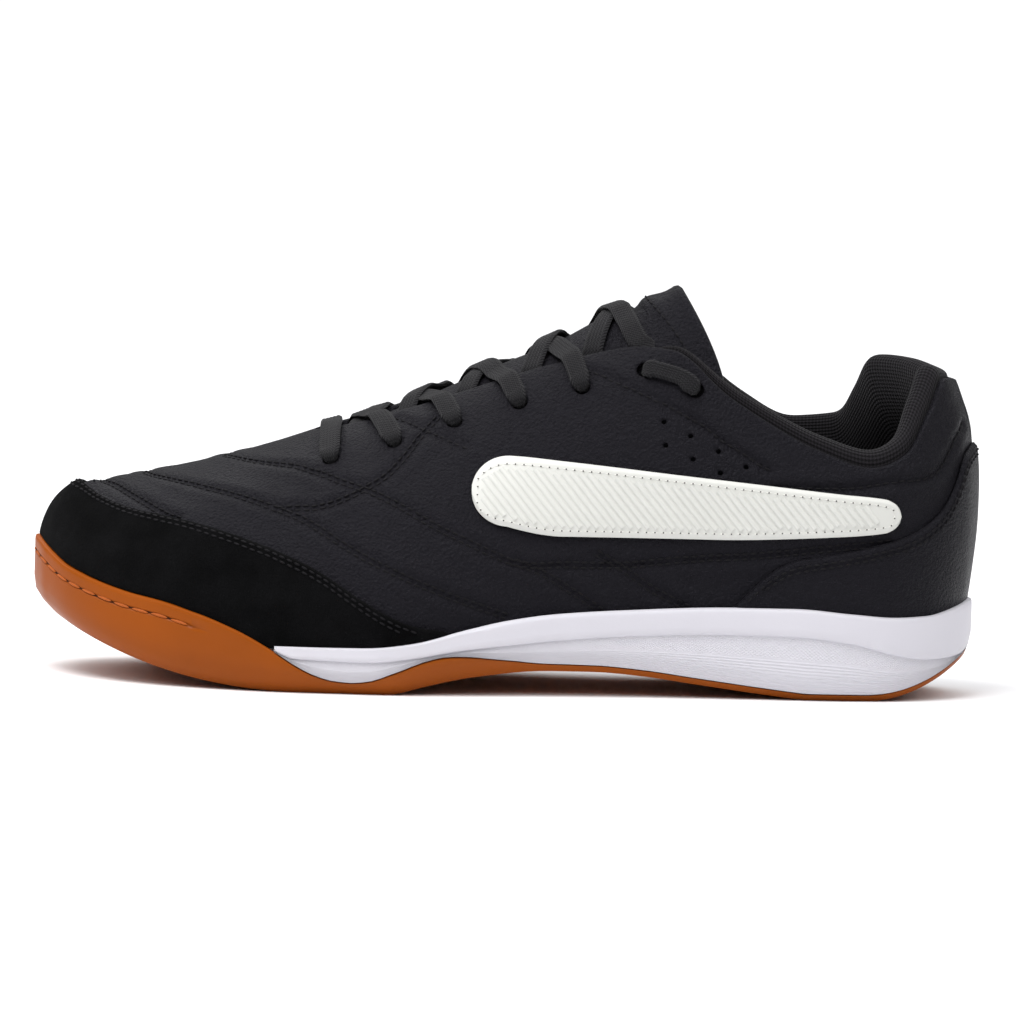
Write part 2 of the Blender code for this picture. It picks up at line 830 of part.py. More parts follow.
def build_heel_counter():
    def edge(x):
        return read_counter(x / LENGTH)[0] * INSTEP_HEIGHT
    rungs = [COUNTER_START] + [rung for rung in upper_rungs() if rung > COUNTER_START]
    run = [(LATERAL, rung) for rung in rungs] + [(MEDIAL, rung) for rung in rungs[-2::-1]]
    counter = band(run, None, edge, OVERLAY, COUNTER_ROWS)
    return make_object("heel_counter", counter, "leather")


def build_side_panel(side, name):
    def low(x):
        return read_panel(x / LENGTH)[0] * INSTEP_HEIGHT
    def high(x):
        return read_panel(x / LENGTH)[1] * INSTEP_HEIGHT
    middle = 0.5 * (PANEL_EDGES[0][1] + PANEL_EDGES[0][2]) * INSTEP_HEIGHT
    first = find_on_upper(side, PANEL_EDGES[0][0] * LENGTH, middle)[0]
    second = find_on_upper(side, PANEL_EDGES[1][0] * LENGTH, middle)[0]
    last = find_on_upper(side, PANEL_EDGES[-1][0] * LENGTH, middle)[0]
    before = find_on_upper(side, PANEL_EDGES[-2][0] * LENGTH, middle)[0]
    room = PANEL_END_ROOM
    inner = [rung for rung in upper_rungs() if second + room < rung < before - room]
    run = [(side, rung) for rung in [first, second] + inner + [before, last]]
    if side == MEDIAL:
        run = run[::-1]
    return make_object(name, band(run, low, high, PANEL, PANEL_ROWS), "panel")


# Tongue and collar


def collar_thickness(rung):
    """Thickness of the padded collar at a rung, none in front of its ends."""
    if rung < COLLAR_START:
        return 0.0
    return read_collar(rung)[0] * COLLAR_THICK


def tongue_row(rung):
    """Points across the tongue's top face at a rung, outer side first."""
    turn, rise, lean = read_tongue(rung)
    clear = UPPER_WALL + 2 * GAP
    if rung > COLLAR_START:
        clear += collar_thickness(rung) + 2 * GAP

    def under(side, u):
        return upper_point(side, rung, u) - upper_normal(side, rung, u) * clear

    wings = {}
    for side in SIDES:
        wings[side] = [under(side, turn - drop) for drop in TONGUE_WINGS]
    start = wings[LATERAL][-1]
    end = wings[MEDIAL][-1]
    arch = []
    for i in range(1, ARCH_PARTS):
        across = -1 + 2 * i / ARCH_PARTS
        height = 1 - abs(across) ** ARCH_ROUNDNESS
        point = start.lerp(end, i / ARCH_PARTS)
        point.z += rise * INSTEP_HEIGHT * height
        point.x -= lean * LENGTH * height ** LEAN_SHARPNESS
        arch.append(point)
    return wings[LATERAL] + arch + wings[MEDIAL][::-1]


def build_tongue():
    rows = [tongue_row(row[0]) for row in TONGUE_ROWS]
    return make_object("tongue", shell([rows], -TONGUE_THICK, 0.0), "leather")


def collar_section(side, rung):
    """Closed section of the collar: up the upper's inner face, over the edge and down."""
    share, rise, depth = read_collar(rung)
    thick = share * COLLAR_THICK
    rise *= INSTEP_HEIGHT
    _, start, crown = ray_ends(side, rung)
    drop = depth * INSTEP_HEIGHT / (crown.z - start.z)
    inward = -outward(side, rung)
    clear = UPPER_WALL + GAP

    def inside(u, more):
        return upper_point(side, rung, u) - upper_normal(side, rung, u) * (clear + more)

    top = inside(1.0, 0.0) + Vector((0, 0, -GAP))
    up = Vector((0, 0, rise))
    return [
        inside(1 - drop, 0.0),
        inside(1 - 0.66 * drop, 0.0),
        inside(1 - 0.33 * drop, 0.0),
        top,
        top + up * 0.55,
        top + inward * (0.22 * thick) + up * 0.92,
        top + inward * (0.55 * thick) + up,
        top + inward * (0.88 * thick) + up * 0.6,
        inside(1 - 0.20 * drop, 0.98 * thick),
        inside(1 - 0.60 * drop, 0.80 * thick),
        inside(1 - drop, 0.25 * thick + GAP),
    ]


def build_collar():
    rungs = [COLLAR_START] + [rung for rung in upper_rungs() if rung > COLLAR_START + 0.2]
    loops = [collar_section(LATERAL, rung) for rung in rungs]
    loops += [collar_section(MEDIAL, rung) for rung in rungs[-2::-1]]
    return make_object("collar", loft(loops, capped=True), "mesh")


# Laces


class LaceGround:
    """The faces that the laces lie on: the upper without its holes, and the tongue."""

    def __init__(self):
        whole = join_solids([
            shell([side_grid(side, upper_rungs()) for side in SIDES], -UPPER_WALL, 0.0),
            shell([[tongue_row(row[0]) for row in TONGUE_ROWS]], -TONGUE_THICK, 0.0),
        ])
        self.tree = BVHTree.FromBMesh(whole)
        whole.free()

    def under(self, x, y):
        """Highest point of the ground under a place."""
        above = Vector((x, y, 2 * INSTEP_HEIGHT))
        hit = self.tree.ray_cast(above, Vector((0, 0, -1)))
        return hit[0] if hit[0] else self.tree.find_nearest(above)[0]


def ribbon_section(centre, across, normal, width, thickness):
    """Flat section with eased edges."""
    half = width / 2
    flat = half - thickness / 3
    up = thickness / 2
    outline = ((-flat, -up), (flat, -up), (half, 0.0), (flat, up), (-flat, up), (-half, 0.0))
    return [centre + across * a + normal * b for a, b in outline]


def lace_over(ground, start, end, dives, count=7):
    """Flat lace that lies over the ground from start to end.

    dives holds, for each end, the hole's centre and axis, or None where the lace just ends.
    """
    way = Vector((end.x - start.x, end.y - start.y, 0.0))
    square = Vector((-way.y, way.x, 0.0)).normalized()
    lifted = []
    sides = []
    for i in range(count):
        spot = start + way * (i / (count - 1))
        edges = []
        for sign in (-1, 0, 1):
            place = spot + square * (sign * LACE_WIDTH / 2)
            edges.append(ground.under(place.x, place.y))
        left, middle, right = edges
        across = (right - left).normalized()
        height = max(middle.z, (left.z + right.z) / 2)
        lifted.append(Vector((spot.x, spot.y, height)))
        sides.append(across)
    for _ in range(6):
        for i in range(1, count - 1):
            level = (lifted[i - 1].z + lifted[i + 1].z) / 2
            lifted[i].z = max(lifted[i].z, level)
    for _ in range(2):
        sides = [(sides[max(i - 1, 0)] + sides[i] * 2 + sides[min(i + 1, count - 1)]).normalized()
                 for i in range(count)]
    sections = []
    clear = LACE_THICK / 2 + LACE_LIFT
    for i in range(count):
        ahead = lifted[min(i + 1, count - 1)] - lifted[max(i - 1, 0)]
        normal = ahead.cross(sides[i]).normalized()
        if normal.z < 0:
            normal = -normal
        sections.append((lifted[i] + normal * clear, sides[i], normal, LACE_WIDTH, LACE_THICK))
    if dives[0]:
        sections = dive_sections(dives[0], sections[1])[::-1] + sections[1:]
    if dives[1]:
        sections = sections[:-1] + dive_sections(dives[1], sections[-2])
    return loft([ribbon_section(*section) for section in sections], capped=True)


def dive_sections(hole, last):
    """Sections that narrow the lace after its last full one and turn it down into a hole."""
    centre, axis = hole
    back = last[0] - centre
    back = (back - axis * back.dot(axis)).normalized()
    across = axis.cross(back).normalized()
    if across.dot(last[1]) < 0:
        across = -across
    tilted = (axis - back).normalized()
    over = centre + axis * (LACE_THICK / 2 + LACE_LIFT)
    return [
        (over + back * (0.55 * HOLE_DIAMETER), across, axis, 0.85 * LACE_WIDTH, LACE_THICK),
        (over - axis * GAP + back * (0.12 * HOLE_DIAMETER), across, tilted,
         0.62 * LACE_WIDTH, 0.85 * LACE_THICK),
        (centre - axis * (0.3 * UPPER_WALL), across, -back,
         0.62 * HOLE_DIAMETER, 0.30 * HOLE_DIAMETER),
    ]


def throat_place(side, x_share):
    """Place just inside the throat's edge at a share of the length."""
    rung = solve(lambda at: ray_ends(side, at)[2].x - x_share * LENGTH, THROAT_START, 12.0)
    crown = ray_ends(side, rung)[2]
    return Vector((crown.x, crown.y - side * (LACE_WIDTH / 2 + 4 * GAP), 0.0))


def lace_run(side, low, high):
    """Flat lace that lies on the upper between the two top holes of one side."""
    ends = [find_on_upper(side, x * LENGTH, z * INSTEP_HEIGHT) for x, z, _ in HOLES[-2:]]
    places = []
    for share in (0.0, 0.25, 0.5, 0.75, 1.0):
        rung = ends[0][0] + (ends[1][0] - ends[0][0]) * share
        u = ends[0][1] + (ends[1][1] - ends[0][1]) * share
        normal = upper_normal(side, rung, u)
        lift = LACE_THICK / 2 + LACE_LIFT
        places.append((upper_point(side, rung, u) + normal * lift, normal))
    way = (places[-1][0] - places[0][0]).normalized()
    sections = [(spot, normal.cross(way).normalized(), normal, LACE_WIDTH, LACE_THICK)
                for spot, normal in places]
    sections = dive_sections(low, sections[1])[::-1] + sections[1:-1] + dive_sections(high, sections[-2])
    return loft([ribbon_section(*section) for section in sections], capped=True)


def build_laces():
    ground = LaceGround()
    holes = {side: hole_places(side) for side in SIDES}
    bar = lace_over(ground, holes[LATERAL][0][0], holes[MEDIAL][0][0],
                    (holes[LATERAL][0], holes[MEDIAL][0]))
    make_object("lace_bar", bar, "lace")
    for i in range(1, 6):
        arms = []
        for side in SIDES:
            begin = throat_place(side, HOLES[i - 1][2])
            if i < 5:
                target = holes[-side][i]
                arms.append(lace_over(ground, begin, target[0], (None, target)))
            else:
                finish = throat_place(-side, HOLES[i][2])
                arms.append(lace_over(ground, begin, finish, (None, None)))
        name = "lace_cross_%d" % i
        made = make_object(name, arms[0], "lace")
        tool = cutter_object(name + "_other_arm", arms[1])
        add_boolean(made, tool, "UNION")
    for side, name in ((LATERAL, "lace_run_lateral"), (MEDIAL, "lace_run_medial")):
        make_object(name, lace_run(side, holes[side][5], holes[side][6]), "lace")


def clear_scene():
    for old in list(bpy.data.objects):
        bpy.data.objects.remove(old, do_unlink=True)


def main():
    clear_scene()
    build_outsole()
    build_midsole()
    build_insole()
    build_upper()
    build_toe_guard()
    build_heel_counter()
    build_collar()
    build_tongue()
    build_side_panel(LATERAL, "side_panel_lateral")
    build_side_panel(MEDIAL, "side_panel_medial")
    build_laces()


main()
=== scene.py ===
"""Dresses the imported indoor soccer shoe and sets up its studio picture."""

import math
from functools import lru_cache

import bmesh
import bpy
import numpy as np
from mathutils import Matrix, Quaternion, Vector, noise
from mathutils.bvhtree import BVHTree
from mathutils.kdtree import KDTree


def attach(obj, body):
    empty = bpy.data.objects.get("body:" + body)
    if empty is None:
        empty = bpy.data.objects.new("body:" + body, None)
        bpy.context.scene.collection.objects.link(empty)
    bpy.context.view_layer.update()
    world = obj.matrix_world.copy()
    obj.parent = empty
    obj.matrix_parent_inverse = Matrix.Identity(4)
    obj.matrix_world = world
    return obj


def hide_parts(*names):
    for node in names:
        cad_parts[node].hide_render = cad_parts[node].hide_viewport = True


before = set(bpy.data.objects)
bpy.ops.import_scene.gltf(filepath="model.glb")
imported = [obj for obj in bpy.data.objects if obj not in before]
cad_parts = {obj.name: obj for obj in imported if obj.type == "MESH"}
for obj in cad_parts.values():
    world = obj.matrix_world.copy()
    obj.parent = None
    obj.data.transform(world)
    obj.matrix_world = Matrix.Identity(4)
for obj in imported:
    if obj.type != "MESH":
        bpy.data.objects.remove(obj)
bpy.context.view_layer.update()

bl_info = {
    "name": "Indoor Soccer Shoe",
    "version": (1, 0, 0),
    "blender": (4, 5, 0),
    "location": "View3D > Sidebar > Shoe",
    "description": "Builds the pieces, materials and studio of an indoor soccer shoe",
    "category": "Object",
}

# Driving sizes of the last and the sole
LENGTH = 0.290
BALL_WIDTH = 0.1048
INSTEP_HEIGHT = 0.108
SOLE_HEIGHT = 0.030
TOE_SPRING = 0.022
ARCH_RISE = 0.0077
HEEL_LIFT = 0.0157

# Thicknesses and clearances
GAP = 0.0003
UPPER_WALL = 0.0020
OVERLAY = 0.0013
PANEL = 0.0014
TONGUE_THICK = 0.0042
COLLAR_THICK = 0.0095
INSOLE_THICK = 0.0040
RIM = 0.0026
GUM_BASE = 0.0032
GUM_LIP = 0.0004
TREAD_DEPTH = 0.0012
TREAD_WIDTH = 0.0030
EDGE_IN = 0.0050
EDGE_UP = 0.0080
SIDE_STEP = 0.0008

# Powers of the toe spring's and the lower edge's curves; share of EDGE_IN lost at the heel
SPRING_CURVE = 2.2
EDGE_CURVE = 1.8
HEEL_EDGE_LOSS = 0.65

# Places of the tread's inner points, shares of BALL_WIDTH in from the edge; most that a
# groove takes of the rubber under the shoe
TREAD_INSETS = (0.07, 0.02)
GROOVE_LIMIT = 0.45

# Lacing
HOLE_DIAMETER = 0.0050
LACE_WIDTH = 0.0068
LACE_THICK = 0.0014
LACE_LIFT = 0.0006
RUN_WIDTH = 0.78 * LACE_WIDTH
HUMP_LIFT = 1.05 * LACE_THICK
HUMP_REACH = 0.0075
CENTRE_CROSSING = 0.0015

# Places along the sole, shares of LENGTH
TOE_CENTRE = 0.207
HEEL_CENTRE = 0.880
SPRING_START = 0.293
LIFT_START = 0.883

# Rungs where the forms change
LAST_RUNG = 18
WHITE_START = 6.8
THROAT_START = 7.2
COLLAR_START = 11.1
GUARD_END = 8.9
COUNTER_START = 11.85
FINE_STEP = 0.125
FINEST_STEP = 0.0625

LATERAL = -1
MEDIAL = 1
SIDES = (LATERAL, MEDIAL)
SIDE_NAMES = {LATERAL: "lateral", MEDIAL: "medial"}

# Outline of the sole.  Columns: rung, x share of LENGTH, outer and inner half width,
# shares of BALL_WIDTH.  The first and last rows mirror the ones beside the tips.
OUTLINE = (
    (-1, 0.0070, -0.168, -0.041),
    (0, 0.0000, -0.067, 0.067),
    (1, 0.0070, 0.041, 0.168),
    (2, 0.0170, 0.106, 0.228),
    (3, 0.0340, 0.188, 0.296),
    (4, 0.0690, 0.294, 0.363),
    (5, 0.1210, 0.391, 0.420),
    (6, 0.1900, 0.465, 0.464),
    (7, 0.2760, 0.511, 0.480),
    (8, 0.3620, 0.519, 0.450),
    (9, 0.4480, 0.482, 0.382),
    (10, 0.5520, 0.425, 0.315),
    (11, 0.6550, 0.382, 0.296),
    (12, 0.7590, 0.358, 0.317),
    (13, 0.8450, 0.345, 0.324),
    (14, 0.9030, 0.313, 0.299),
    (15, 0.9480, 0.248, 0.235),
    (16, 0.9776, 0.160, 0.146),
    (17, 0.9910, 0.076, 0.076),
    (18, 0.9952, 0.000, 0.000),
    (19, 0.9910, -0.076, -0.076),
)

# Arch under the shank.  Columns: x share of LENGTH, share of ARCH_RISE.
ARCH = (
    (0.386, 0.00),
    (0.421, 0.36),
    (0.472, 0.75),
    (0.545, 1.00),
    (0.597, 0.98),
    (0.645, 0.84),
    (0.703, 0.55),
    (0.766, 0.24),
    (0.820, 0.00),
)

# Height of the gum rubber's side above its own bottom edge.
# Columns: x share of LENGTH, share of SOLE_HEIGHT.
GUM_SIDE = (
    (0.000, 0.730),
    (0.034, 0.650),
    (0.097, 0.680),
    (0.138, 0.710),
    (0.176, 0.680),
    (0.217, 0.590),
    (0.248, 0.465),
    (0.279, 0.290),
    (0.300, 0.190),
    (0.321, 0.130),
    (0.341, 0.115),
    (0.362, 0.140),
    (0.386, 0.225),
    (0.431, 0.270),
    (0.462, 0.225),
    (0.500, 0.145),
    (0.545, 0.075),
    (0.650, 0.063),
    (0.824, 0.063),
    (1.000, 0.055),
)

# Side of the white midsole and its footbed.  Columns: x share of LENGTH, then the rim's top,
# the side step and the footbed as shares of SOLE_HEIGHT.
WHITE_SIDE = (
    (0.000, 0.960, 0.400, 0.930),
    (0.035, 0.860, 0.400, 0.815),
    (0.121, 0.650, 0.400, 0.590),
    (0.190, 0.530, 0.400, 0.493),
    (0.250, 0.477, 0.375, 0.447),
    (0.290, 0.477, 0.360, 0.440),
    (0.355, 0.483, 0.347, 0.417),
    (0.403, 0.533, 0.390, 0.440),
    (0.462, 0.683, 0.487, 0.505),
    (0.503, 0.777, 0.535, 0.550),
    (0.555, 0.850, 0.590, 0.585),
    (0.631, 0.900, 0.645, 0.625),
    (0.734, 0.943, 0.677, 0.660),
    (0.807, 0.947, 0.668, 0.680),
    (0.869, 0.900, 0.600, 0.685),
    (0.917, 0.867, 0.483, 0.690),
    (0.950, 0.877, 0.440, 0.695),
    (0.976, 0.933, 0.445, 0.700),
    (1.000, 1.017, 0.460, 0.700),
)

# Crown line of the upper.  Columns: rung; x share of LENGTH, y share of BALL_WIDTH and
# z share of INSTEP_HEIGHT on the outer side; the same on the inner side.
CROWN = (
    (0, 0.0620, 0.038, 0.540, 0.0620, 0.038, 0.540),
    (2, 0.0670, 0.038, 0.543, 0.0670, 0.038, 0.543),
    (3, 0.0790, 0.038, 0.548, 0.0790, 0.038, 0.548),
    (4, 0.1070, 0.036, 0.564, 0.1070, 0.036, 0.564),
    (5, 0.1520, 0.031, 0.590, 0.1520, 0.031, 0.590),
    (6, 0.2100, 0.027, 0.633, 0.2100, 0.027, 0.633),
    (7, 0.2760, 0.023, 0.689, 0.2760, 0.023, 0.689),
    (7.2, 0.2900, 0.021, 0.703, 0.2900, 0.021, 0.703),
    (7.4, 0.3040, -0.018, 0.715, 0.3040, 0.060, 0.715),
    (7.7, 0.3310, -0.058, 0.735, 0.3310, 0.098, 0.735),
    (8, 0.3590, -0.086, 0.756, 0.3590, 0.126, 0.756),
    (9, 0.4440, -0.112, 0.836, 0.4420, 0.148, 0.836),
    (10, 0.5440, -0.140, 0.928, 0.5400, 0.168, 0.930),
    (11, 0.6400, -0.190, 0.990, 0.6320, 0.205, 0.998),
    (11.4, 0.6720, -0.222, 0.983, 0.6620, 0.234, 0.998),
    (12, 0.7340, -0.272, 0.854, 0.7350, 0.284, 0.822),
    (13, 0.8270, -0.296, 0.714, 0.8000, 0.300, 0.722),
    (14, 0.8830, -0.282, 0.667, 0.8480, 0.290, 0.730),
    (15, 0.9210, -0.242, 0.706, 0.8800, 0.262, 0.818),
    (16, 0.9430, -0.178, 0.812, 0.9070, 0.205, 0.908),
    (17, 0.9610, -0.092, 0.912, 0.9430, 0.112, 0.916),
    (18, 0.9710, 0.000, 0.905, 0.9710, 0.000, 0.905),
)

# How each ray bends.  Columns: rung; the lower handle's height as a share of the ray's rise;
# how far the crown's handle reaches out, share of BALL_WIDTH; its drop, share of the rise;
# how far the lower handle swells out, share of BALL_WIDTH.
BEND = (
    (0, 0.48, 0.077, 0.03, -0.010),
    (3, 0.48, 0.100, 0.03, -0.005),
    (4, 0.48, 0.140, 0.02, 0.000),
    (5, 0.48, 0.200, 0.01, 0.005),
    (6, 0.48, 0.250, 0.00, 0.012),
    (7, 0.46, 0.270, 0.00, 0.018),
    (8, 0.45, 0.200, 0.08, 0.018),
    (9, 0.43, 0.170, 0.12, 0.016),
    (10, 0.42, 0.140, 0.14, 0.014),
    (11, 0.40, 0.120, 0.16, 0.012),
    (12, 0.40, 0.060, 0.30, 0.018),
    (13, 0.40, 0.036, 0.33, 0.024),
    (15, 0.40, 0.045, 0.33, 0.028),
    (16, 0.40, 0.060, 0.30, 0.032),
    (18, 0.40, 0.081, 0.28, 0.036),
)

# Top edge of the toe guard.  Columns: x share of LENGTH, z share of INSTEP_HEIGHT.
GUARD_EDGE = (
    (0.000, 0.542),
    (0.038, 0.541),
    (0.069, 0.507),
    (0.097, 0.486),
    (0.166, 0.461),
    (0.238, 0.412),
    (0.300, 0.347),
    (0.351, 0.265),
    (0.376, 0.228),
    (0.402, 0.199),
    (0.442, 0.181),
)

# Front and top edge of the heel counter, in the same columns.
COUNTER_EDGE = (
    (0.745, 0.268),
    (0.766, 0.330),
    (0.786, 0.375),
    (0.807, 0.401),
    (0.847, 0.421),
    (0.886, 0.444),
    (0.917, 0.467),
    (0.938, 0.494),
    (0.959, 0.543),
    (0.972, 0.609),
    (0.983, 0.700),
    (1.000, 0.741),
)

# Ribbed side panel: x share of LENGTH, then its low and high edge as shares of INSTEP_HEIGHT.
PANEL_EDGES = (
    (0.462, 0.600, 0.620),
    (0.472, 0.530, 0.668),
    (0.500, 0.480, 0.672),
    (0.560, 0.455, 0.662),
    (0.720, 0.455, 0.624),
    (0.850, 0.470, 0.590),
    (0.905, 0.485, 0.574),
    (0.915, 0.515, 0.545),
)

# Tongue.  Columns: rung of the row; the part of the ray where it turns under the throat's
# edge; the ridge's rise, share of INSTEP_HEIGHT; how far the ridge leans forward, share of
# LENGTH.
TONGUE_ROWS = (
    (6.9, 0.92, 0.000, 0.000),
    (7.2, 0.93, 0.003, 0.000),
    (7.5, 0.96, 0.006, 0.000),
    (8.0, 0.99, 0.015, 0.000),
    (8.5, 1.00, 0.025, 0.001),
    (9.0, 1.00, 0.035, 0.002),
    (9.5, 1.00, 0.042, 0.004),
    (10.0, 1.00, 0.050, 0.007),
    (10.5, 1.00, 0.068, 0.014),
    (11.0, 1.00, 0.088, 0.026),
    (11.4, 1.00, 0.122, 0.038),
    (11.7, 1.00, 0.216, 0.050),
    (12.0, 1.00, 0.338, 0.058),
)

# Padded collar.  Columns: rung; thickness, share of COLLAR_THICK; rise over the crown and
# depth below it, shares of INSTEP_HEIGHT.
COLLAR_ROWS = (
    (11.1, 0.12, 0.010, 0.10),
    (11.5, 0.28, 0.030, 0.14),
    (12, 0.42, 0.040, 0.19),
    (13, 0.62, 0.050, 0.23),
    (14, 0.80, 0.056, 0.24),
    (15, 0.95, 0.056, 0.25),
    (16, 1.00, 0.054, 0.26),
    (17, 1.00, 0.046, 0.26),
    (18, 0.95, 0.040, 0.26),
)

# Lace holes from toe to top.  Columns: x share of LENGTH, z share of INSTEP_HEIGHT, and
# where the lace comes out from under the throat's edge, x share of LENGTH.
HOLES = (
    (0.3120, 0.644, 0.340),
    (0.3790, 0.698, 0.393),
    (0.4420, 0.759, 0.456),
    (0.5100, 0.819, 0.524),
    (0.5760, 0.869, 0.588),
    (0.6410, 0.925, 0.630),
    (0.6960, 0.874, 0.690),
)

# Grooves across the tread, shares of LENGTH.
TREAD_GROOVES = (0.165, 0.235, 0.305, 0.375, 0.815, 0.870)


def reader(rows):
    """Return a function that reads a smooth curve through the rows at a value of column 1."""
    table = np.array(rows, dtype=float)
    keys = table[:, 0]
    values = table[:, 1:]
    rise = np.diff(values, axis=0) / np.diff(keys)[:, None]
    slope = np.zeros_like(values)
    before = rise[:-1]
    after = rise[1:]
    total = np.where(before + after == 0, 1.0, before + after)
    slope[1:-1] = np.where(before * after > 0, 2 * before * after / total, 0.0)
    slope[0] = rise[0]
    slope[-1] = rise[-1]

    def read(at):
        held = min(max(at, keys[0]), keys[-1])
        row = min(int(np.searchsorted(keys, held, side="right")) - 1, len(keys) - 2)
        step = keys[row + 1] - keys[row]
        t = (held - keys[row]) / step
        start = (1 + 2 * t) * (1 - t) ** 2 * values[row] + t * (1 - t) ** 2 * step * slope[row]
        end = t * t * (3 - 2 * t) * values[row + 1] + t * t * (t - 1) * step * slope[row + 1]
        return (start + end).tolist()

    return read


read_outline = reader(OUTLINE)
read_arch = reader(ARCH)
read_gum = reader(GUM_SIDE)
read_white = reader(WHITE_SIDE)
read_crown = reader(CROWN)
read_bend = reader(BEND)
read_guard = reader(GUARD_EDGE)
read_counter = reader(COUNTER_EDGE)
read_panel = reader(PANEL_EDGES)
read_tongue = reader(TONGUE_ROWS)
read_collar = reader(COLLAR_ROWS)

CENTRE_Y = BALL_WIDTH * (max(row[3] for row in OUTLINE) - max(row[2] for row in OUTLINE)) / 2
ORIGIN = Vector((LENGTH / 2, CENTRE_Y, 0.0))


def solve(function, low, high):
    """Return where a rising function crosses zero between low and high."""
    for _ in range(40):
        middle = (low + high) / 2
        if function(middle) < 0:
            low = middle
        else:
            high = middle
    return (low + high) / 2


def rung_range(first, last, step, extra=()):
    """Return the rungs from first to last, a step apart, with extra ones put in."""
    count = round((last - first) / step)
    rungs = [first + (last - first) * i / count for i in range(count + 1)]
    return sorted(set(rungs) | set(extra))


# Sole


def outline_point(side, rung, inset=0.0):
    """Point of the sole's outline, moved in from the edge, with z = 0."""
    x_share, lateral, medial = read_outline(rung)
    x = x_share * LENGTH
    y = (-lateral if side == LATERAL else medial) * BALL_WIDTH
    return Vector((x, y, 0.0)) - outward(side, rung) * inset


def outward(side, rung):
    """Level direction out of the shoe at a rung: square to the side, radial at both ends."""
    x_share, lateral, medial = read_outline(rung)
    anchor_share = min(max(x_share, TOE_CENTRE), HEEL_CENTRE)
    y = (-lateral if side == LATERAL else medial) * BALL_WIDTH
    return Vector(((x_share - anchor_share) * LENGTH, y, 0.0)).normalized()


def bottom_height(x):
    """Height of the tread above the floor: toe spring, ball flat, arch, heel flat, heel lift."""
    share = x / LENGTH
    if share < SPRING_START:
        return TOE_SPRING * ((SPRING_START - share) / SPRING_START) ** SPRING_CURVE
    if share > LIFT_START:
        return HEEL_LIFT * ((share - LIFT_START) / (1 - LIFT_START)) ** 2
    return ARCH_RISE * read_arch(share)[0]


def edge_inset(height, rung):
    """How far the rounded lower edge lies in from the outline, at a height above the tread."""
    x_share = read_outline(rung)[0]
    back = min(max((x_share - LIFT_START) / (1 - LIFT_START), 0.0), 1.0)
    reach = EDGE_IN * (1 - HEEL_EDGE_LOSS * back)
    return reach * max(0.0, 1 - height / EDGE_UP) ** EDGE_CURVE


class SoleSection:
    """Heights and insets of the sole at one rung of one side."""

    def __init__(self, side, rung):
        self.side = side
        self.rung = rung
        share = read_outline(rung)[0]
        self.tread = bottom_height(outline_point(side, rung, edge_inset(0.0, rung)).x)
        gum = read_gum(share)[0] * SOLE_HEIGHT
        rim, step, bed = (value * SOLE_HEIGHT for value in read_white(share))
        self.gum_top = self.tread + gum
        self.base = min(GUM_BASE, gum - GUM_LIP)
        self.bed = bed
        self.opens = rung >= WHITE_START
        self.white_low = self.gum_top + GAP
        self.rim = max(rim, self.white_low + 4 * GAP) if self.opens else bed
        self.step = min(max(step, self.white_low + 2 * GAP), self.rim - 4 * GAP)

    def inset_at(self, height):
        """Inset of the outer face at a height above the floor."""
        return edge_inset(max(0.0, height - self.tread), self.rung)

    def at(self, inset, height):
        """Point at an inset and a height."""
        point = outline_point(self.side, self.rung, inset)
        return Vector((point.x, point.y, height))

    def over_tread(self, inset, lift):
        """Point at an inset, a lift above the tread that is under it."""
        point = outline_point(self.side, self.rung, inset)
        return Vector((point.x, point.y, bottom_height(point.x) + lift))

    def line(self):
        """Height of the line where the upper leaves the sole."""
        return max(self.gum_top, self.rim)

    def seat(self):
        """Inset of the upper's outer face."""
        return self.inset_at(self.bed) + RIM + GAP


def groove_depth(rung, section):
    """Depth of the tread's grooves at a rung: full in the middle of a groove, else none."""
    x = read_outline(rung)[0] * LENGTH
    reach = min(abs(x - share * LENGTH) for share in TREAD_GROOVES)
    full = min(TREAD_DEPTH, GROOVE_LIMIT * section.base)
    return full * max(0.0, 1 - 2 * reach / TREAD_WIDTH)


def rung_at(x):
    """Rung whose outline lies at x."""
    return solve(lambda rung: read_outline(rung)[0] * LENGTH - x, 0.0, float(LAST_RUNG))


def insole_half(side, rung):
    """Points of the insole's section on one side: bottom edge, top edge."""
    section = SoleSection(side, rung)
    low = section.bed + GAP
    inset = section.seat() + UPPER_WALL + 5 * GAP
    return [section.at(inset, low), section.at(inset, low + 0.6 * INSOLE_THICK),
            section.at(inset + INSOLE_THICK, low + INSOLE_THICK)]


def sole_loops(half, rungs):
    """Closed sections, one for each rung, from a function that gives one side's points."""
    return [half(LATERAL, rung) + half(MEDIAL, rung)[::-1] for rung in rungs]


# Upper


@lru_cache(maxsize=None)
def ray_controls(side, rung):
    """Foot on the bed and the four control points of a ray's curve."""
    section = SoleSection(side, rung)
    start = section.at(section.seat(), section.line() + GAP)
    bed = section.at(section.seat(), section.bed + GAP)
    values = read_crown(rung)
    x, y, z = values[:3] if side == LATERAL else values[3:]
    crown = Vector((x * LENGTH, y * BALL_WIDTH, z * INSTEP_HEIGHT))
    lift, reach, drop, swell = read_bend(rung)
    rise = crown.z - start.z
    out = outward(side, rung)
    low = start + out * (swell * BALL_WIDTH) + Vector((0, 0, lift * rise))
    high = crown + out * (reach * BALL_WIDTH) - Vector((0, 0, drop * rise))
    return bed, start, low, high, crown


def crown_point(side, rung):
    return ray_controls(side, rung)[4]


def upper_point(side, rung, u):
    """Point of the upper's outer face: u = 0 at the sole line, 1 at the crown."""
    _, start, low, high, crown = ray_controls(side, rung)
    return ((1 - u) ** 3 * start + 3 * u * (1 - u) ** 2 * low
            + 3 * u * u * (1 - u) * high + u ** 3 * crown)


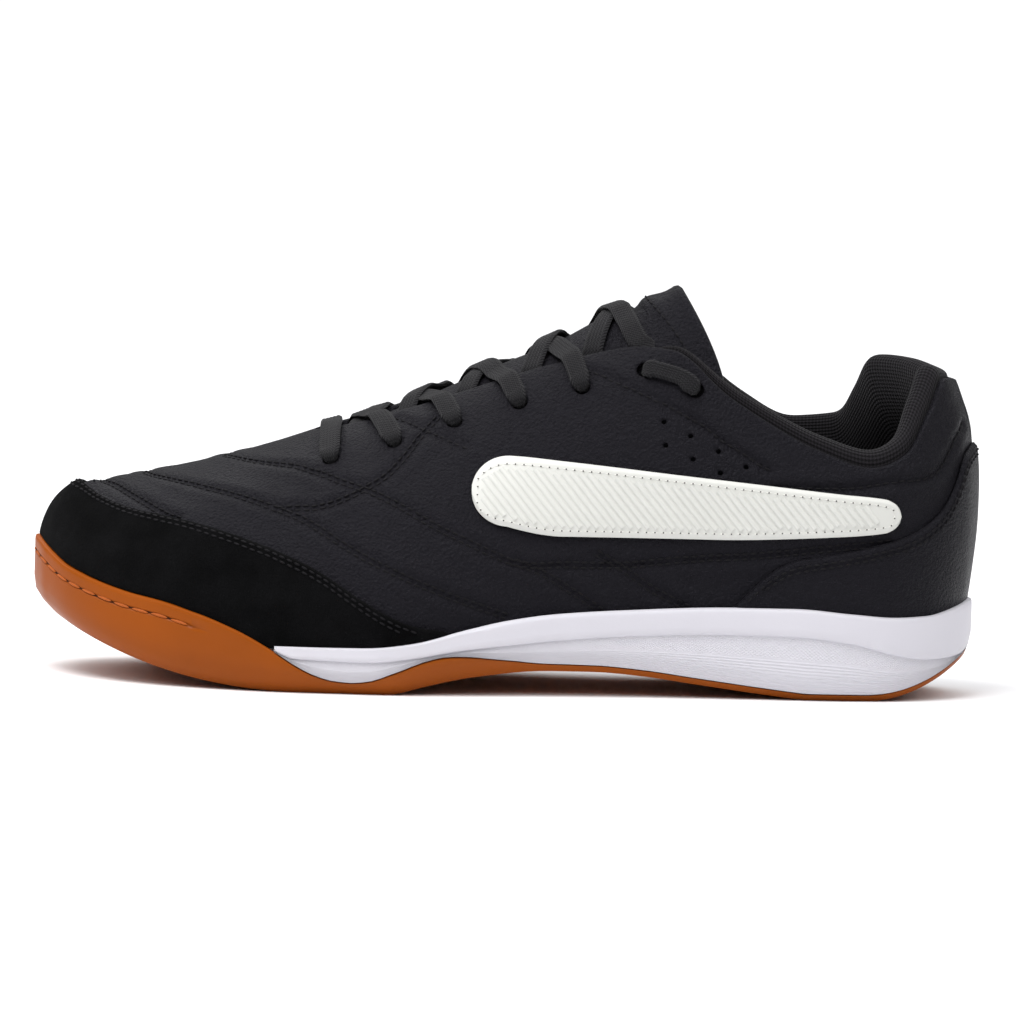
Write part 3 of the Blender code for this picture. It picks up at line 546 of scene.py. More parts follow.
def upper_normal(side, rung, u):
    """Outward normal of the upper's outer face."""
    step = 0.02
    along = upper_point(side, rung + step, u) - upper_point(side, rung - step, u)
    if rung - step < 0:
        along = upper_point(side, rung + step, u) - upper_point(-side, rung + step, u)
    if rung + step > LAST_RUNG:
        along = upper_point(-side, rung - step, u) - upper_point(side, rung - step, u)
    up = upper_point(side, rung, min(1.0, u + step)) - upper_point(side, rung, max(0.0, u - step))
    normal = along.cross(up) if side == LATERAL else up.cross(along)
    return normal.normalized()


def ray_share(side, rung, edge):
    """Part of the ray that lies below an edge, whose height is a function of x."""
    def above(u):
        point = upper_point(side, rung, u)
        return point.z - edge(point.x)
    if above(0.0) >= 0:
        return 0.0
    if above(1.0) <= 0:
        return 1.0
    return solve(above, 0.0, 1.0)


def find_on_upper(side, x, z):
    """Rung and part of the ray of the point that a side view shows at x and z."""
    def level(_):
        return z
    def behind(rung):
        return upper_point(side, rung, ray_share(side, rung, level)).x - x
    rung = solve(behind, 3.0, 17.5)
    return rung, ray_share(side, rung, level)


def side_grid(side, rungs, parts):
    """Rows of points of one side of the upper, faces turned out."""
    rows = []
    for rung in rungs:
        bed = ray_controls(side, rung)[0]
        rows.append([bed] + [upper_point(side, rung, u) for u in parts])
    return rows if side == LATERAL else [row[::-1] for row in rows]


# Meshes


def shell(grids, near, far, relief=None, edges=None):
    """Closed solid between two offsets of one or more sheets that share their edges.

    relief gives an outer point's extra offset from its place and normal.  edges are grids of
    factors for the outer offset, one beside each sheet.
    """
    sheet = bmesh.new()
    layer = sheet.verts.layers.float.new("factor")
    for number, grid in enumerate(grids):
        width = len(grid[0])
        factors = [f for row in edges[number] for f in row] if edges else None
        verts = []
        for i, point in enumerate(p for row in grid for p in row):
            vert = sheet.verts.new(point)
            vert[layer] = factors[i] if factors else 1.0
            verts.append(vert)
        for i in range(len(grid) - 1):
            for j in range(width - 1):
                a = i * width + j
                sheet.faces.new((verts[a], verts[a + width], verts[a + width + 1], verts[a + 1]))
    bmesh.ops.remove_doubles(sheet, verts=sheet.verts, dist=1e-6)
    bmesh.ops.dissolve_degenerate(sheet, edges=sheet.edges, dist=1e-6)
    sheet.normal_update()
    solid = bmesh.new()
    outer = {}
    inner = {}
    for vert in sheet.verts:
        reach = near + (far - near) * vert[layer]
        if relief:
            reach += relief(vert.co, vert.normal)
        outer[vert] = solid.verts.new(vert.co + vert.normal * reach)
        inner[vert] = solid.verts.new(vert.co + vert.normal * near)
    for face in sheet.faces:
        solid.faces.new([outer[vert] for vert in face.verts])
        solid.faces.new([inner[vert] for vert in reversed(face.verts)])
    for edge in sheet.edges:
        if len(edge.link_faces) == 1:
            loop = edge.link_loops[0]
            first = loop.vert
            second = loop.link_loop_next.vert
            solid.faces.new((outer[second], outer[first], inner[first], inner[second]))
    sheet.free()
    return solid


def loft(loops, capped=False, uv=None):
    """Closed solid through closed sections.  Sections that fold flat close the ends.

    uv gives the map's place of point j of loop i.
    """
    solid = bmesh.new()
    rings = [[solid.verts.new(point) for point in loop] for loop in loops]
    count = len(rings[0])
    layer = solid.loops.layers.uv.new("surface") if uv else None
    for i in range(len(rings) - 1):
        for j in range(count):
            after = (j + 1) % count
            corners = ((i, j), (i, after), (i + 1, after), (i + 1, j))
            face = solid.faces.new([rings[a][b] for a, b in corners])
            if uv:
                spots = ((i, j), (i, j + 1), (i + 1, j + 1), (i + 1, j))
                for loop, spot in zip(face.loops, spots):
                    loop[layer].uv = uv(*spot)
    if capped:
        solid.faces.new(rings[0])
        solid.faces.new(rings[-1])
    bmesh.ops.remove_doubles(solid, verts=solid.verts, dist=1e-6)
    bmesh.ops.dissolve_degenerate(solid, edges=solid.edges, dist=1e-6)
    bmesh.ops.recalc_face_normals(solid, faces=solid.faces)
    return solid


def piece(name, solid, material, replaces=(), smooth=45, subdivide=0):
    """Turn a solid, worked out from the toe, into a finished piece that rides on the body."""
    mesh = bpy.data.meshes.new(name)
    solid.to_mesh(mesh)
    solid.free()
    return piece_from_mesh(name, mesh, material, replaces, smooth, subdivide)


def piece_from_mesh(name, mesh, material, replaces=(), smooth=45, subdivide=0,
                    cutter=None):
    """Finished piece from a mesh whose points are counted from the toe."""
    places = np.empty(len(mesh.vertices) * 3)
    mesh.vertices.foreach_get("co", places)
    places = places.reshape(-1, 3) - np.array(ORIGIN)
    mesh.vertices.foreach_set("co", places.ravel())
    mesh.update()
    mesh.shade_smooth()
    mesh.set_sharp_from_angle(angle=math.radians(smooth))
    mesh.materials.clear()
    mesh.materials.append(material)
    made = bpy.data.objects.new(name, mesh)
    bpy.context.scene.collection.objects.link(made)
    if subdivide:
        modifier = made.modifiers.new("Rounded", "SUBSURF")
        modifier.levels = subdivide
        modifier.render_levels = subdivide
        settle(made)
    if cutter:
        modifier = made.modifiers.new("Holes", "BOOLEAN")
        modifier.operation = "DIFFERENCE"
        modifier.solver = "EXACT"
        modifier.object = cutter
        settle(made)
        bpy.data.objects.remove(cutter)
    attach(made, "root")
    if replaces:
        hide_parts(*replaces)
    return made


def settle(made):
    """Replace an object's mesh by what its modifiers make of it."""
    evaluated = made.evaluated_get(bpy.context.evaluated_depsgraph_get())
    mesh = bpy.data.meshes.new_from_object(evaluated)
    made.modifiers.clear()
    made.data = mesh


def surface_tree(*names):
    """Search tree of finished pieces, counted from the toe."""
    points = []
    faces = []
    for name in names:
        mesh = bpy.data.objects[name].data
        base = len(points)
        points += [vert.co + ORIGIN for vert in mesh.vertices]
        faces += [[base + i for i in face.vertices] for face in mesh.polygons]
    return BVHTree.FromPolygons(points, faces)


# Rows that follow the surface


def side_hit(tree, side, x, z):
    """Place on the surface that a side view shows at x and z."""
    start = Vector((x, side * BALL_WIDTH, z))
    return tree.ray_cast(start, Vector((0, -side, 0)))[0]


def curve_place(before, start, end, after, t):
    """Place at t between start and end on a smooth curve through four points."""
    return 0.5 * (2 * start + (end - before) * t
                  + (2 * before - 5 * start + 4 * end - after) * t * t
                  + (3 * start - before - 3 * end + after) * t ** 3)


def smooth_path(points, spacing):
    """Points a spacing apart on a smooth curve through the given points."""
    ends = [points[0] * 2 - points[1]] + list(points) + [points[-1] * 2 - points[-2]]
    fine = []
    for i in range(1, len(ends) - 2):
        before, start, end, after = ends[i - 1:i + 3]
        count = max(1, round((end - start).length / spacing))
        fine += [curve_place(before, start, end, after, k / count) for k in range(count)]
    return fine + [points[-1].copy()]


ROW_SPACING = 0.0012


class Row:
    """A line on a surface: its places and the surface's outward normals there."""

    def __init__(self, tree, points, spacing=ROW_SPACING):
        self.places = []
        self.normals = []
        for point in smooth_path(points, spacing):
            place, normal, _, _ = tree.find_nearest(point)
            self.places.append(place)
            self.normals.append(normal)
        count = len(self.places)
        for _ in range(2):
            self.normals = [(self.normals[max(i - 1, 0)] + self.normals[i]
                             + self.normals[min(i + 1, count - 1)]).normalized()
                            for i in range(count)]

    def across(self, i):
        """Level direction across the row at a point."""
        last = len(self.places) - 1
        along = self.places[min(i + 1, last)] - self.places[max(i - 1, 0)]
        return along.cross(self.normals[i]).normalized()

    def beside(self, distance, tree):
        """Row on a surface, at a distance to the side."""
        points = [place + self.across(i) * distance for i, place in enumerate(self.places)]
        return Row(tree, points[::2] + ([points[-1]] if len(points) % 2 == 0 else []))


def row_mesh(name, rows, lift):
    """Mesh of open lines whose attribute up holds the surface's direction."""
    places = []
    edges = []
    ups = []
    for row in rows:
        base = len(places)
        for place, normal in zip(row.places, row.normals):
            places.append(place + normal * lift)
            ups.extend(normal)
        edges += [(base + i, base + i + 1) for i in range(len(row.places) - 1)]
    mesh = bpy.data.meshes.new(name)
    mesh.from_pydata(places, edges, [])
    up = mesh.attributes.new("up", "FLOAT_VECTOR", "POINT")
    up.data.foreach_set("vector", ups)
    return mesh


# Geometry node trees


def add_node(tree, kind, inputs=None, **settings):
    """Add a node with its settings; an input gets a value or another node's output."""
    made = tree.nodes.new(kind)
    for key, value in settings.items():
        setattr(made, key, value)
    for key, value in (inputs or {}).items():
        if isinstance(value, bpy.types.NodeSocket):
            tree.links.new(value, made.inputs[key])
        else:
            made.inputs[key].default_value = value
    return made


def attribute(tree, name, kind="FLOAT_VECTOR"):
    """A named attribute of the mesh that the tree gets."""
    node = add_node(tree, "GeometryNodeInputNamedAttribute", {"Name": name}, data_type=kind)
    return node.outputs[0]


def new_tree(name, lengths):
    """Empty geometry tree with named lengths and a material as its inputs."""
    tree = bpy.data.node_groups.new(name, "GeometryNodeTree")
    tree.interface.new_socket("Geometry", in_out="INPUT", socket_type="NodeSocketGeometry")
    tree.interface.new_socket("Geometry", in_out="OUTPUT", socket_type="NodeSocketGeometry")
    for label, value in lengths.items():
        socket = tree.interface.new_socket(label, in_out="INPUT", socket_type="NodeSocketFloat")
        socket.default_value = value
    tree.interface.new_socket("Material", in_out="INPUT", socket_type="NodeSocketMaterial")
    return tree, add_node(tree, "NodeGroupInput")


def close_tree(tree, entry, geometry):
    """Realize the instances, give them their material and end the tree."""
    real = add_node(tree, "GeometryNodeRealizeInstances", {"Geometry": geometry})
    smooth = add_node(tree, "GeometryNodeSetShadeSmooth", {"Geometry": real.outputs[0]})
    painted = add_node(tree, "GeometryNodeSetMaterial",
                       {"Geometry": smooth.outputs[0], "Material": entry.outputs["Material"]})
    add_node(tree, "NodeGroupOutput", {"Geometry": painted.outputs[0]})
    return tree


def stitch_tree():
    """Thread stitches, one pitch apart, that lie along rows."""
    tree, entry = new_tree("Stitches along rows",
                           {"Pitch": 0.0024, "Length": 0.0019, "Width": 0.0005, "Height": 0.0004})
    curve = add_node(tree, "GeometryNodeMeshToCurve", {"Mesh": entry.outputs["Geometry"]})
    spots = add_node(tree, "GeometryNodeResampleCurve",
                     {"Curve": curve.outputs[0], "Length": entry.outputs["Pitch"]}, mode="LENGTH")
    ball = add_node(tree, "GeometryNodeMeshUVSphere", {"Segments": 8, "Rings": 5, "Radius": 0.5})
    size = add_node(tree, "ShaderNodeCombineXYZ", {"X": entry.outputs["Length"],
                                                   "Y": entry.outputs["Width"],
                                                   "Z": entry.outputs["Height"]})
    tangent = add_node(tree, "GeometryNodeInputTangent")
    turned = add_node(tree, "FunctionNodeAlignRotationToVector",
                      {"Vector": tangent.outputs[0]}, axis="X")
    level = add_node(tree, "FunctionNodeAlignRotationToVector",
                     {"Rotation": turned.outputs[0], "Vector": attribute(tree, "up")},
                     axis="Z", pivot_axis="X")
    placed = add_node(tree, "GeometryNodeInstanceOnPoints",
                      {"Points": spots.outputs[0], "Instance": ball.outputs[0],
                       "Rotation": level.outputs[0], "Scale": size.outputs[0]})
    return close_tree(tree, entry, placed.outputs[0])


def rib_tree():
    """Half-round ribs that follow lines."""
    tree, entry = new_tree("Ribs along lines", {"Width": 0.0010, "Height": 0.0004})
    curve = add_node(tree, "GeometryNodeMeshToCurve", {"Mesh": entry.outputs["Geometry"]})
    raised = add_node(tree, "GeometryNodeSetCurveNormal", {"Curve": curve.outputs[0]},
                      mode="FREE")
    tree.links.new(attribute(tree, "up"), raised.inputs["Normal"])
    ring = add_node(tree, "GeometryNodeCurvePrimitiveCircle", {"Resolution": 8, "Radius": 0.5})
    size = add_node(tree, "ShaderNodeCombineXYZ", {"X": entry.outputs["Height"],
                                                   "Y": entry.outputs["Width"], "Z": 1.0})
    section = add_node(tree, "GeometryNodeTransform",
                       {"Geometry": ring.outputs[0], "Scale": size.outputs[0]})
    swept = add_node(tree, "GeometryNodeCurveToMesh",
                     {"Curve": raised.outputs[0], "Profile Curve": section.outputs[0],
                      "Fill Caps": True})
    return close_tree(tree, entry, swept.outputs[0])


def run_tree(name, mesh, tree, values, material):
    """Run a geometry tree on a mesh and keep what it makes as a finished piece."""
    carrier = bpy.data.objects.new(name + "_rows", mesh)
    bpy.context.scene.collection.objects.link(carrier)
    modifier = carrier.modifiers.new("Rows", "NODES")
    modifier.node_group = tree
    values = dict(values, Material=material)
    for socket in tree.interface.items_tree:
        if socket.item_type == "SOCKET" and socket.in_out == "INPUT" and socket.name in values:
            modifier[socket.identifier] = values[socket.name]
    evaluated = carrier.evaluated_get(bpy.context.evaluated_depsgraph_get())
    made = bpy.data.meshes.new_from_object(evaluated)
    bpy.data.objects.remove(carrier)
    if not made.polygons:
        raise RuntimeError("%s came out empty" % name)
    return piece_from_mesh(name, made, material, smooth=60)


# Finishes


def linear(text):
    """Linear red, green, blue and opacity of an sRGB hex colour."""
    channels = [int(text[i:i + 2], 16) / 255 for i in (1, 3, 5)]
    return [c / 12.92 if c <= 0.04045 else ((c + 0.055) / 1.055) ** 2.4 for c in channels] + [1.0]


class Finish:
    """A material in the making: its shader, the piece's coordinates and what is drawn on it."""

    def __init__(self, name, roughness, **values):
        self.material = bpy.data.materials.new(name)
        self.material.use_nodes = True
        self.tree = self.material.node_tree
        self.shader = self.tree.nodes["Principled BSDF"]
        self.shader.inputs["Roughness"].default_value = roughness
        for key, value in values.items():
            self.shader.inputs[key.replace("_", " ")].default_value = value
        self.place = add_node(self.tree, "ShaderNodeTexCoord")

    def map_place(self):
        """The two parts of the piece's own map."""
        split = add_node(self.tree, "ShaderNodeSeparateXYZ", {0: self.place.outputs["UV"]})
        return split.outputs["X"], split.outputs["Y"]

    def noise(self, scale, detail, **more):
        """Noise over the piece, its scale per metre."""
        inputs = {"Vector": self.place.outputs["Object"], "Scale": scale, "Detail": detail}
        return add_node(self.tree, "ShaderNodeTexNoise", dict(inputs, **more)).outputs[0]

    def math(self, operation, *values):
        """Result of an operation on values or other nodes' outputs."""
        inputs = dict(enumerate(values))
        return add_node(self.tree, "ShaderNodeMath", inputs, operation=operation).outputs[0]

    def wave(self, value, count):
        """Sine with a number of waves for each unit of the value."""
        return self.math("SINE", self.math("MULTIPLY", value, 2 * math.pi * count))

    def spread(self, value, start, end, low=0.0, high=1.0, **settings):
        """Value between start and end spread between low and high."""
        inputs = {"Value": value, "From Min": start, "From Max": end, "To Min": low,
                  "To Max": high}
        return add_node(self.tree, "ShaderNodeMapRange", inputs, **settings).outputs[0]

    def mix(self, share, first, second):
        """Colour between two colours."""
        inputs = {0: share, 6: first, 7: second}
        return add_node(self.tree, "ShaderNodeMix", inputs, data_type="RGBA").outputs[2]

    def close(self, height, depth, colour, roughness=None):
        """Link a relief of a depth in metres, the colour, and the roughness if it varies."""
        bump = add_node(self.tree, "ShaderNodeBump", {"Height": height, "Distance": depth})
        self.tree.links.new(bump.outputs[0], self.shader.inputs["Normal"])
        self.tree.links.new(colour, self.shader.inputs["Base Color"])
        if roughness:
            self.tree.links.new(roughness, self.shader.inputs["Roughness"])
        return self.material


def full_grain_leather(name, dark, light):
    """Pigmented full-grain leather with an embossed pebble grain: a broken, soft shine."""
    made = Finish(name, 0.38, Specular_IOR_Level=0.12, Specular_Tint=(0.86, 0.84, 1.0, 1.0))
    # Grain of 0.9 mm with finer pores of 0.35 mm
    grain = add_node(made.tree, "ShaderNodeTexVoronoi",
                     {"Vector": made.place.outputs["Object"], "Scale": 1100.0},
                     feature="SMOOTH_F1")
    height = made.math("ADD", grain.outputs["Distance"], made.noise(2800.0, 2.0))
    # Uneven dressing of the hide, patches of about 25 mm
    patches = made.noise(40.0, 3.0)
    return made.close(height, 0.00045, made.mix(patches, dark, light),
                      made.spread(patches, 0.3, 0.7, 0.33, 0.44))


def napped_suede(name, dark, light):
    """Suede with a raised nap: no shine, a faint light at the edge, faint brush marks."""
    made = Finish(name, 0.95, Specular_IOR_Level=0.04, Sheen_Weight=0.01, Sheen_Roughness=0.4)
    # Tufts of about 0.45 mm, coarser than real fibres so that the picture can show them
    nap = made.noise(2200.0, 4.0, Roughness=0.7)
    marks = made.noise(90.0, 4.0)
    tone = made.spread(made.math("MULTIPLY", nap, marks), 0.15, 0.45)
    return made.close(nap, 0.00070, made.mix(tone, dark, light))


def gum_rubber(name, dark, light):
    """Moulded crepe-coloured gum rubber: warm, satin, slightly cloudy."""
    made = Finish(name, 0.38, Specular_IOR_Level=0.12)
    clouds = made.noise(35.0, 4.0)
    return made.close(made.noise(1500.0, 3.0), 0.00003, made.mix(clouds, dark, light),
                      made.spread(clouds, 0.3, 0.7, 0.36, 0.50))


def moulded_foam(name, colour, shade):
    """Moulded EVA foam with a satin skin, fine dots under the step and long drawn lines."""
    made = Finish(name, 0.48, IOR=1.45)
    along, up = made.map_place()
    # Seventeen lines between the sole's edge and the step, fading out in its upper half
    lines = made.wave(up, 17)
    drawn = made.math("MULTIPLY", lines,
                      made.spread(up, 0.62, 0.52, interpolation_type="SMOOTHSTEP"))
    # Dots 1.3 mm apart
    dots = made.math("MULTIPLY", made.wave(along, 1 / 0.0013), lines)
    dotted = made.math("MULTIPLY", dots, made.math("COMPARE", up, 0.79, 0.18))
    skin = made.math("MULTIPLY_ADD", made.noise(900.0, 3.0), 0.5,
                     made.math("ADD", drawn, dotted))
    return made.close(skin, 0.00008, made.mix(made.noise(25.0, 4.0), colour, shade))


def spacer_mesh(name, dark, light):
    """Knitted spacer mesh: rows of small open cells with a matt, slightly raised yarn; painted
    shade in the cells and painted light on the yarn.
    """
    made = Finish(name, 0.85, Specular_IOR_Level=0.12, Sheen_Weight=0.06)
    along, girth = made.map_place()
    # Cells 1.5 mm apart on the slant
    waves = [made.wave(made.math(operation, along, girth), 1 / 0.0022)
             for operation in ("ADD", "SUBTRACT")]
    level = made.spread(made.math("MULTIPLY", *waves), -0.6, 0.6)
    # The colour follows the relief: the darker cells are painted shade, the lighter raised yarn is
    # painted light
    return made.close(level, 0.00030, made.mix(level, dark, light))


def woven_lace(name, dark, light):
    """Flat woven polyester lace: lengthwise ribs with short slanted yarns, with painted shade
    between the yarns and painted light on their crests.
    """
    made = Finish(name, 0.72, Specular_IOR_Level=0.15, Sheen_Weight=0.08)
    along, girth = made.map_place()
    # Yarns 1.1 mm apart, leaning the other way on each rib
    turns = made.math("MULTIPLY", along, 2 * math.pi / 0.0011)
    yarns = made.math("SINE", made.math("MULTIPLY_ADD", made.wave(girth, 12), 2.2, turns))
    level = made.spread(yarns, -1.0, 1.0)
    # The colour follows the relief: darker between the yarns is painted shade, the lighter crests
    # are painted light
    return made.close(level, 0.00018, made.mix(level, dark, light))


def coated_synthetic(name, colour, shade):
    """Pressed synthetic leather with a smooth satin coat."""
    made = Finish(name, 0.38, IOR=1.5)
    skin = made.noise(700.0, 3.0)
    return made.close(skin, 0.00004, made.mix(made.noise(60.0, 3.0), colour, shade))


def twisted_thread(name, colour, shade):
    """Bonded polyester thread: fine twist, low shine."""
    made = Finish(name, 0.6, Specular_IOR_Level=0.12)
    twist = made.noise(3500.0, 2.0)
    return made.close(twist, 0.00006, made.mix(twist, colour, shade))


def brushed_lining(name, colour, shade):
    """Brushed polyester lining: matt, fine fuzzy weave."""
    made = Finish(name, 0.9, Sheen_Weight=0.2)
    weave = made.noise(1400.0, 4.0)
    return made.close(weave, 0.00015, made.mix(weave, colour, shade))


def painted_floor(name, colour, shade):
    """Matt painted studio floor."""
    made = Finish(name, 0.8)
    specks = made.noise(300.0, 2.0)
    return made.close(specks, 0.00001, made.mix(specks, colour, shade))


# Sole pieces


def smoothstep(low, high, value):
    t = min(max((value - low) / (high - low), 0.0), 1.0)
    return t * t * (3 - 2 * t)


def fine_rungs(step, *extra):
    return rung_range(0, LAST_RUNG, step, extra)


def along_side(side, rungs):
    """Distance from the toe along the sole's outline at each rung."""
    total = 0.0
    found = {}
    last = outline_point(side, rungs[0])
    for rung in rungs:
        point = outline_point(side, rung)
        total += (point - last).length
        found[rung] = total
        last = point
    return found


# Stitch groove round the toe: where it ends and how far it takes to fade, shares of LENGTH;
# its distance below the gum's top, in metres and at most as a share of the gum's height; its
# own depth; the last rung with stitches
TOE_STITCH_REACH = 0.172
TOE_STITCH_FADE = 0.01
TOE_STITCH_DROP = 0.0044
DROP_LIMIT = 0.35
TOE_STITCH_GROOVE = 0.0006
LAST_TOE_STITCH = 5.55

# Side of the gum: parts of its height below the groove; the groove, as shares of the drop and
# of the groove's depth; the eased lip, as shares of its height down and in.  The lip takes at
# most a share of the drop, and the plain side ends at a multiple of it.
GUM_PARTS = (0.15, 0.35, 0.6, 0.85, 1.0)
GROOVE_PROFILE = ((1.16, 0.05), (1.07, 0.75), (1.0, 1.0), (0.93, 0.75), (0.84, 0.05))
LIP_PROFILE = ((2.0, 0.0), (1.0, 0.1), (0.3, 0.4), (0.0, 1.1))
LIP_HEIGHT = 0.0007
LIP_LIMIT = 0.3
GROOVE_CLEAR = 1.35


def stitch_drop(gum):
    """Distance of the stitch groove below the top of a gum side of a height."""
    return min(TOE_STITCH_DROP, DROP_LIMIT * gum)


def outsole_side(side, rung):
    """Points of the outsole's section on one side, with the stitch groove and eased edges."""
    section = SoleSection(side, rung)
    depth = groove_depth(rung, section)
    edge = section.inset_at(section.tread)
    gum = section.gum_top - section.tread
    points = [section.over_tread(edge + share * BALL_WIDTH, depth) for share in TREAD_INSETS]
    points.append(section.at(edge, section.tread))
    drop = stitch_drop(gum)
    share = read_outline(rung)[0]
    faded = smoothstep(TOE_STITCH_REACH, TOE_STITCH_REACH + TOE_STITCH_FADE, share)
    groove = TOE_STITCH_GROOVE * (1 - faded)
    low = gum - GROOVE_CLEAR * drop
    lip = min(LIP_HEIGHT, LIP_LIMIT * drop)
    heights = [(low * part, 0.0) for part in GUM_PARTS]
    heights += [(gum - drop * down, groove * deep) for down, deep in GROOVE_PROFILE]
    heights += [(gum - lip * down, lip * into) for down, into in LIP_PROFILE]
    for lift, inset in heights:
        height = section.tread + lift
        points.append(section.at(section.inset_at(height) + inset, height))
    floor = section.tread + section.base
    middle = section.bed if not section.opens else (floor + section.gum_top) / 2
    for height in (section.gum_top, middle):
        points.append(section.at(section.inset_at(height) + RIM, height))
    points.append(section.over_tread(section.inset_at(floor) + RIM, section.base))
    return points


def dress_outsole(finish):
    grooves = [rung_at(share * LENGTH + quarter * TREAD_WIDTH / 4) for share in TREAD_GROOVES
               for quarter in range(-2, 3)]
    loops = sole_loops(outsole_side, fine_rungs(FINE_STEP, *grooves))
    return piece("outsole_rubber", loft(loops), finish, ("outsole",), 35)


def toe_stitch_rows(tree):
    """The row of heavy stitches in the groove round the toe."""
    points = {}
    for side in SIDES:
        points[side] = []
        for rung in rung_range(0, LAST_TOE_STITCH, 0.25):
            section = SoleSection(side, rung)
            height = section.gum_top - stitch_drop(section.gum_top - section.tread)
            points[side].append(section.at(section.inset_at(height) + TOE_STITCH_GROOVE, height))
    return [Row(tree, points[MEDIAL][::-1] + points[LATERAL][1:])]


# Side of the midsole: parts of the band below the step and of the one above it
BAND_PARTS = (0.0, 0.12, 0.25, 0.4, 0.55, 0.7, 0.82, 0.91, 1.0)
RIM_PARTS = (0.3, 0.5, 0.7, 0.85)

# Eased corners over the step and under the rim.  Columns: distance in GAPs, inset in
# SIDE_STEPs, height on the map, where 1 is the step and 2 the rim.
STEP_PROFILE = ((0.5, 0.15, 1.05), (1.5, -0.1, 1.1))
RIM_PROFILE = ((3.0, 0.0, 1.9), (1.2, 0.3, 1.95), (0.0, 1.2, 2.0))


def midsole_side(side, rung, opened):
    """Points of the midsole's section on one side, and each one's share of the lower band."""
    section = SoleSection(side, rung)
    floor = section.tread + section.base + GAP
    bottom = section.over_tread(section.inset_at(floor - GAP) + RIM + GAP, section.base + GAP)
    under = section.at(section.inset_at(section.gum_top) + RIM + GAP, section.white_low)
    bed = section.at(section.seat(), section.bed)
    low = section.white_low
    step = section.step
    rim = section.rim
    face = []
    for part in BAND_PARTS:
        face.append((low + part * (step - GAP - low), SIDE_STEP * part ** 2, part))
    face += [(step + GAP * up, SIDE_STEP * into, place) for up, into, place in STEP_PROFILE]
    for part in RIM_PARTS:
        face.append((step + part * (rim - step), SIDE_STEP * STEP_PROFILE[-1][1], 1 + part))
    face += [(rim - GAP * down, SIDE_STEP * into, place) for down, into, place in RIM_PROFILE]
    shares = [0.0, 0.0] + [part for _, _, part in face] + [2.0, 2.0]
    if not section.opens:
        return [bottom] + [bed] * (len(face) + 3), shares
    if not opened:
        return [bottom, under] + [bed] * (len(face) + 2), shares
    points = [bottom, under]
    for height, inset, _ in face:
        points.append(section.at(section.inset_at(height) + inset, height))
    points.append(section.at(RIM, rim))
    points.append(section.at(RIM if rung > WHITE_START else section.seat(), section.bed))
    return points, shares


def dress_midsole(finish):
    rungs = fine_rungs(FINE_STEP, WHITE_START)
    lengths = {side: along_side(side, rungs) for side in SIDES}
    loops = []
    spots = []
    for rung in rungs:
        for opened in ((False, True) if rung == WHITE_START else (True,)):
            lateral, shares = midsole_side(LATERAL, rung, opened)
            medial, _ = midsole_side(MEDIAL, rung, opened)
            loops.append(lateral + medial[::-1])
            spots.append([(lengths[LATERAL][rung], share) for share in shares]
                         + [(lengths[MEDIAL][rung], share) for share in shares[::-1]])

    def uv(i, j):
        return spots[i][j % len(spots[i])]

    return piece("midsole_foam", loft(loops, uv=uv), finish, ("midsole",), 35)


def dress_insole(finish):
    loops = sole_loops(insole_half, fine_rungs(FINE_STEP))
    return piece("insole_liner", loft(loops), finish, ("insole",), 60)


# Upper pieces

# Seams.  Rows of x and z in millimetres as seen from the side; z = 0 means the middle of the
# vamp, where the seam crosses to the other side.  The flag tells whether it has two rows.
SEAMS = {
    "toe_cap": (True, ((20.5, 0), (24.1, 58.2), (30.6, 55.7), (39.5, 51.9), (44.0, 50.6))),
    "vamp_low": (True, ((33.5, 0), (38.5, 61.3), (51.2, 60.0), (65.9, 57.2), (74.9, 54.7),
                        (83.5, 51.8), (94.2, 45.8), (104.7, 40.4), (116.7, 35.1),
                        (128.3, 30.6), (140.0, 26.6), (145.0, 24.9))),
    "vamp_high": (True, ((58.0, 0), (66.9, 67.5), (81.6, 66.7), (93.0, 63.9), (103.1, 61.1),
                         (110.8, 57.9), (122.5, 51.9), (131.4, 47.9), (140.0, 44.0),
                         (145.9, 41.6))),
    "quarter": (True, ((145.9, 41.6), (153.5, 40.2), (162.5, 40.6), (175.1, 40.6),
                       (184.9, 41.0), (191.7, 41.9), (206.4, 43.3), (221.2, 44.3),
                       (240.8, 46.7), (262.0, 49.0))),
    "shank_front": (True, ((147.0, 41.2), (153.5, 39.2), (159.4, 36.3), (167.4, 31.4),
                           (174.1, 26.8))),
    "shank_back": (True, ((173.5, 44.0), (181.8, 39.1), (189.8, 33.6), (200.6, 28.1))),
    "eyestay_front": (True, ((75.5, 54.9), (81.3, 55.5), (89.0, 56.5), (94.8, 58.6),
                             (100.7, 61.6), (107.7, 65.9), (113.6, 72.0), (117.8, 77.5),
                             (122.5, 82.5))),
    "eyestay_wing": (False, ((110.4, 81.8), (119.4, 79.2), (131.3, 74.9))),
    "eyestay_back": (False, ((168.8, 98.7), (175.1, 96.7), (184.0, 93.1), (191.8, 90.0),
                             (197.7, 87.1), (205.5, 83.0), (211.3, 78.6), (217.2, 75.2),
                             (224.2, 71.0))),
    "topline": (False, ((227.0, 65.3), (235.9, 65.4), (244.2, 65.4), (253.1, 66.0),
                        (263.0, 67.6), (271.9, 68.3), (277.1, 70.6), (280.2, 75.6),
                        (282.5, 80.5), (284.2, 84.1))),
}
SEAM_HALF = 0.00075

# Small holes in the quarter, x and z in millimetres as seen from the side
PERFORATIONS = ((192.3, 84.5), (200.6, 80.5), (209.2, 76.0), (217.8, 71.5),
                (193.0, 77.5), (201.5, 73.5), (210.0, 69.5))


def crown_at(side, x):
    rung = solve(lambda at: crown_point(side, at).x - x, 0.0, 12.0)
    return crown_point(side, rung)


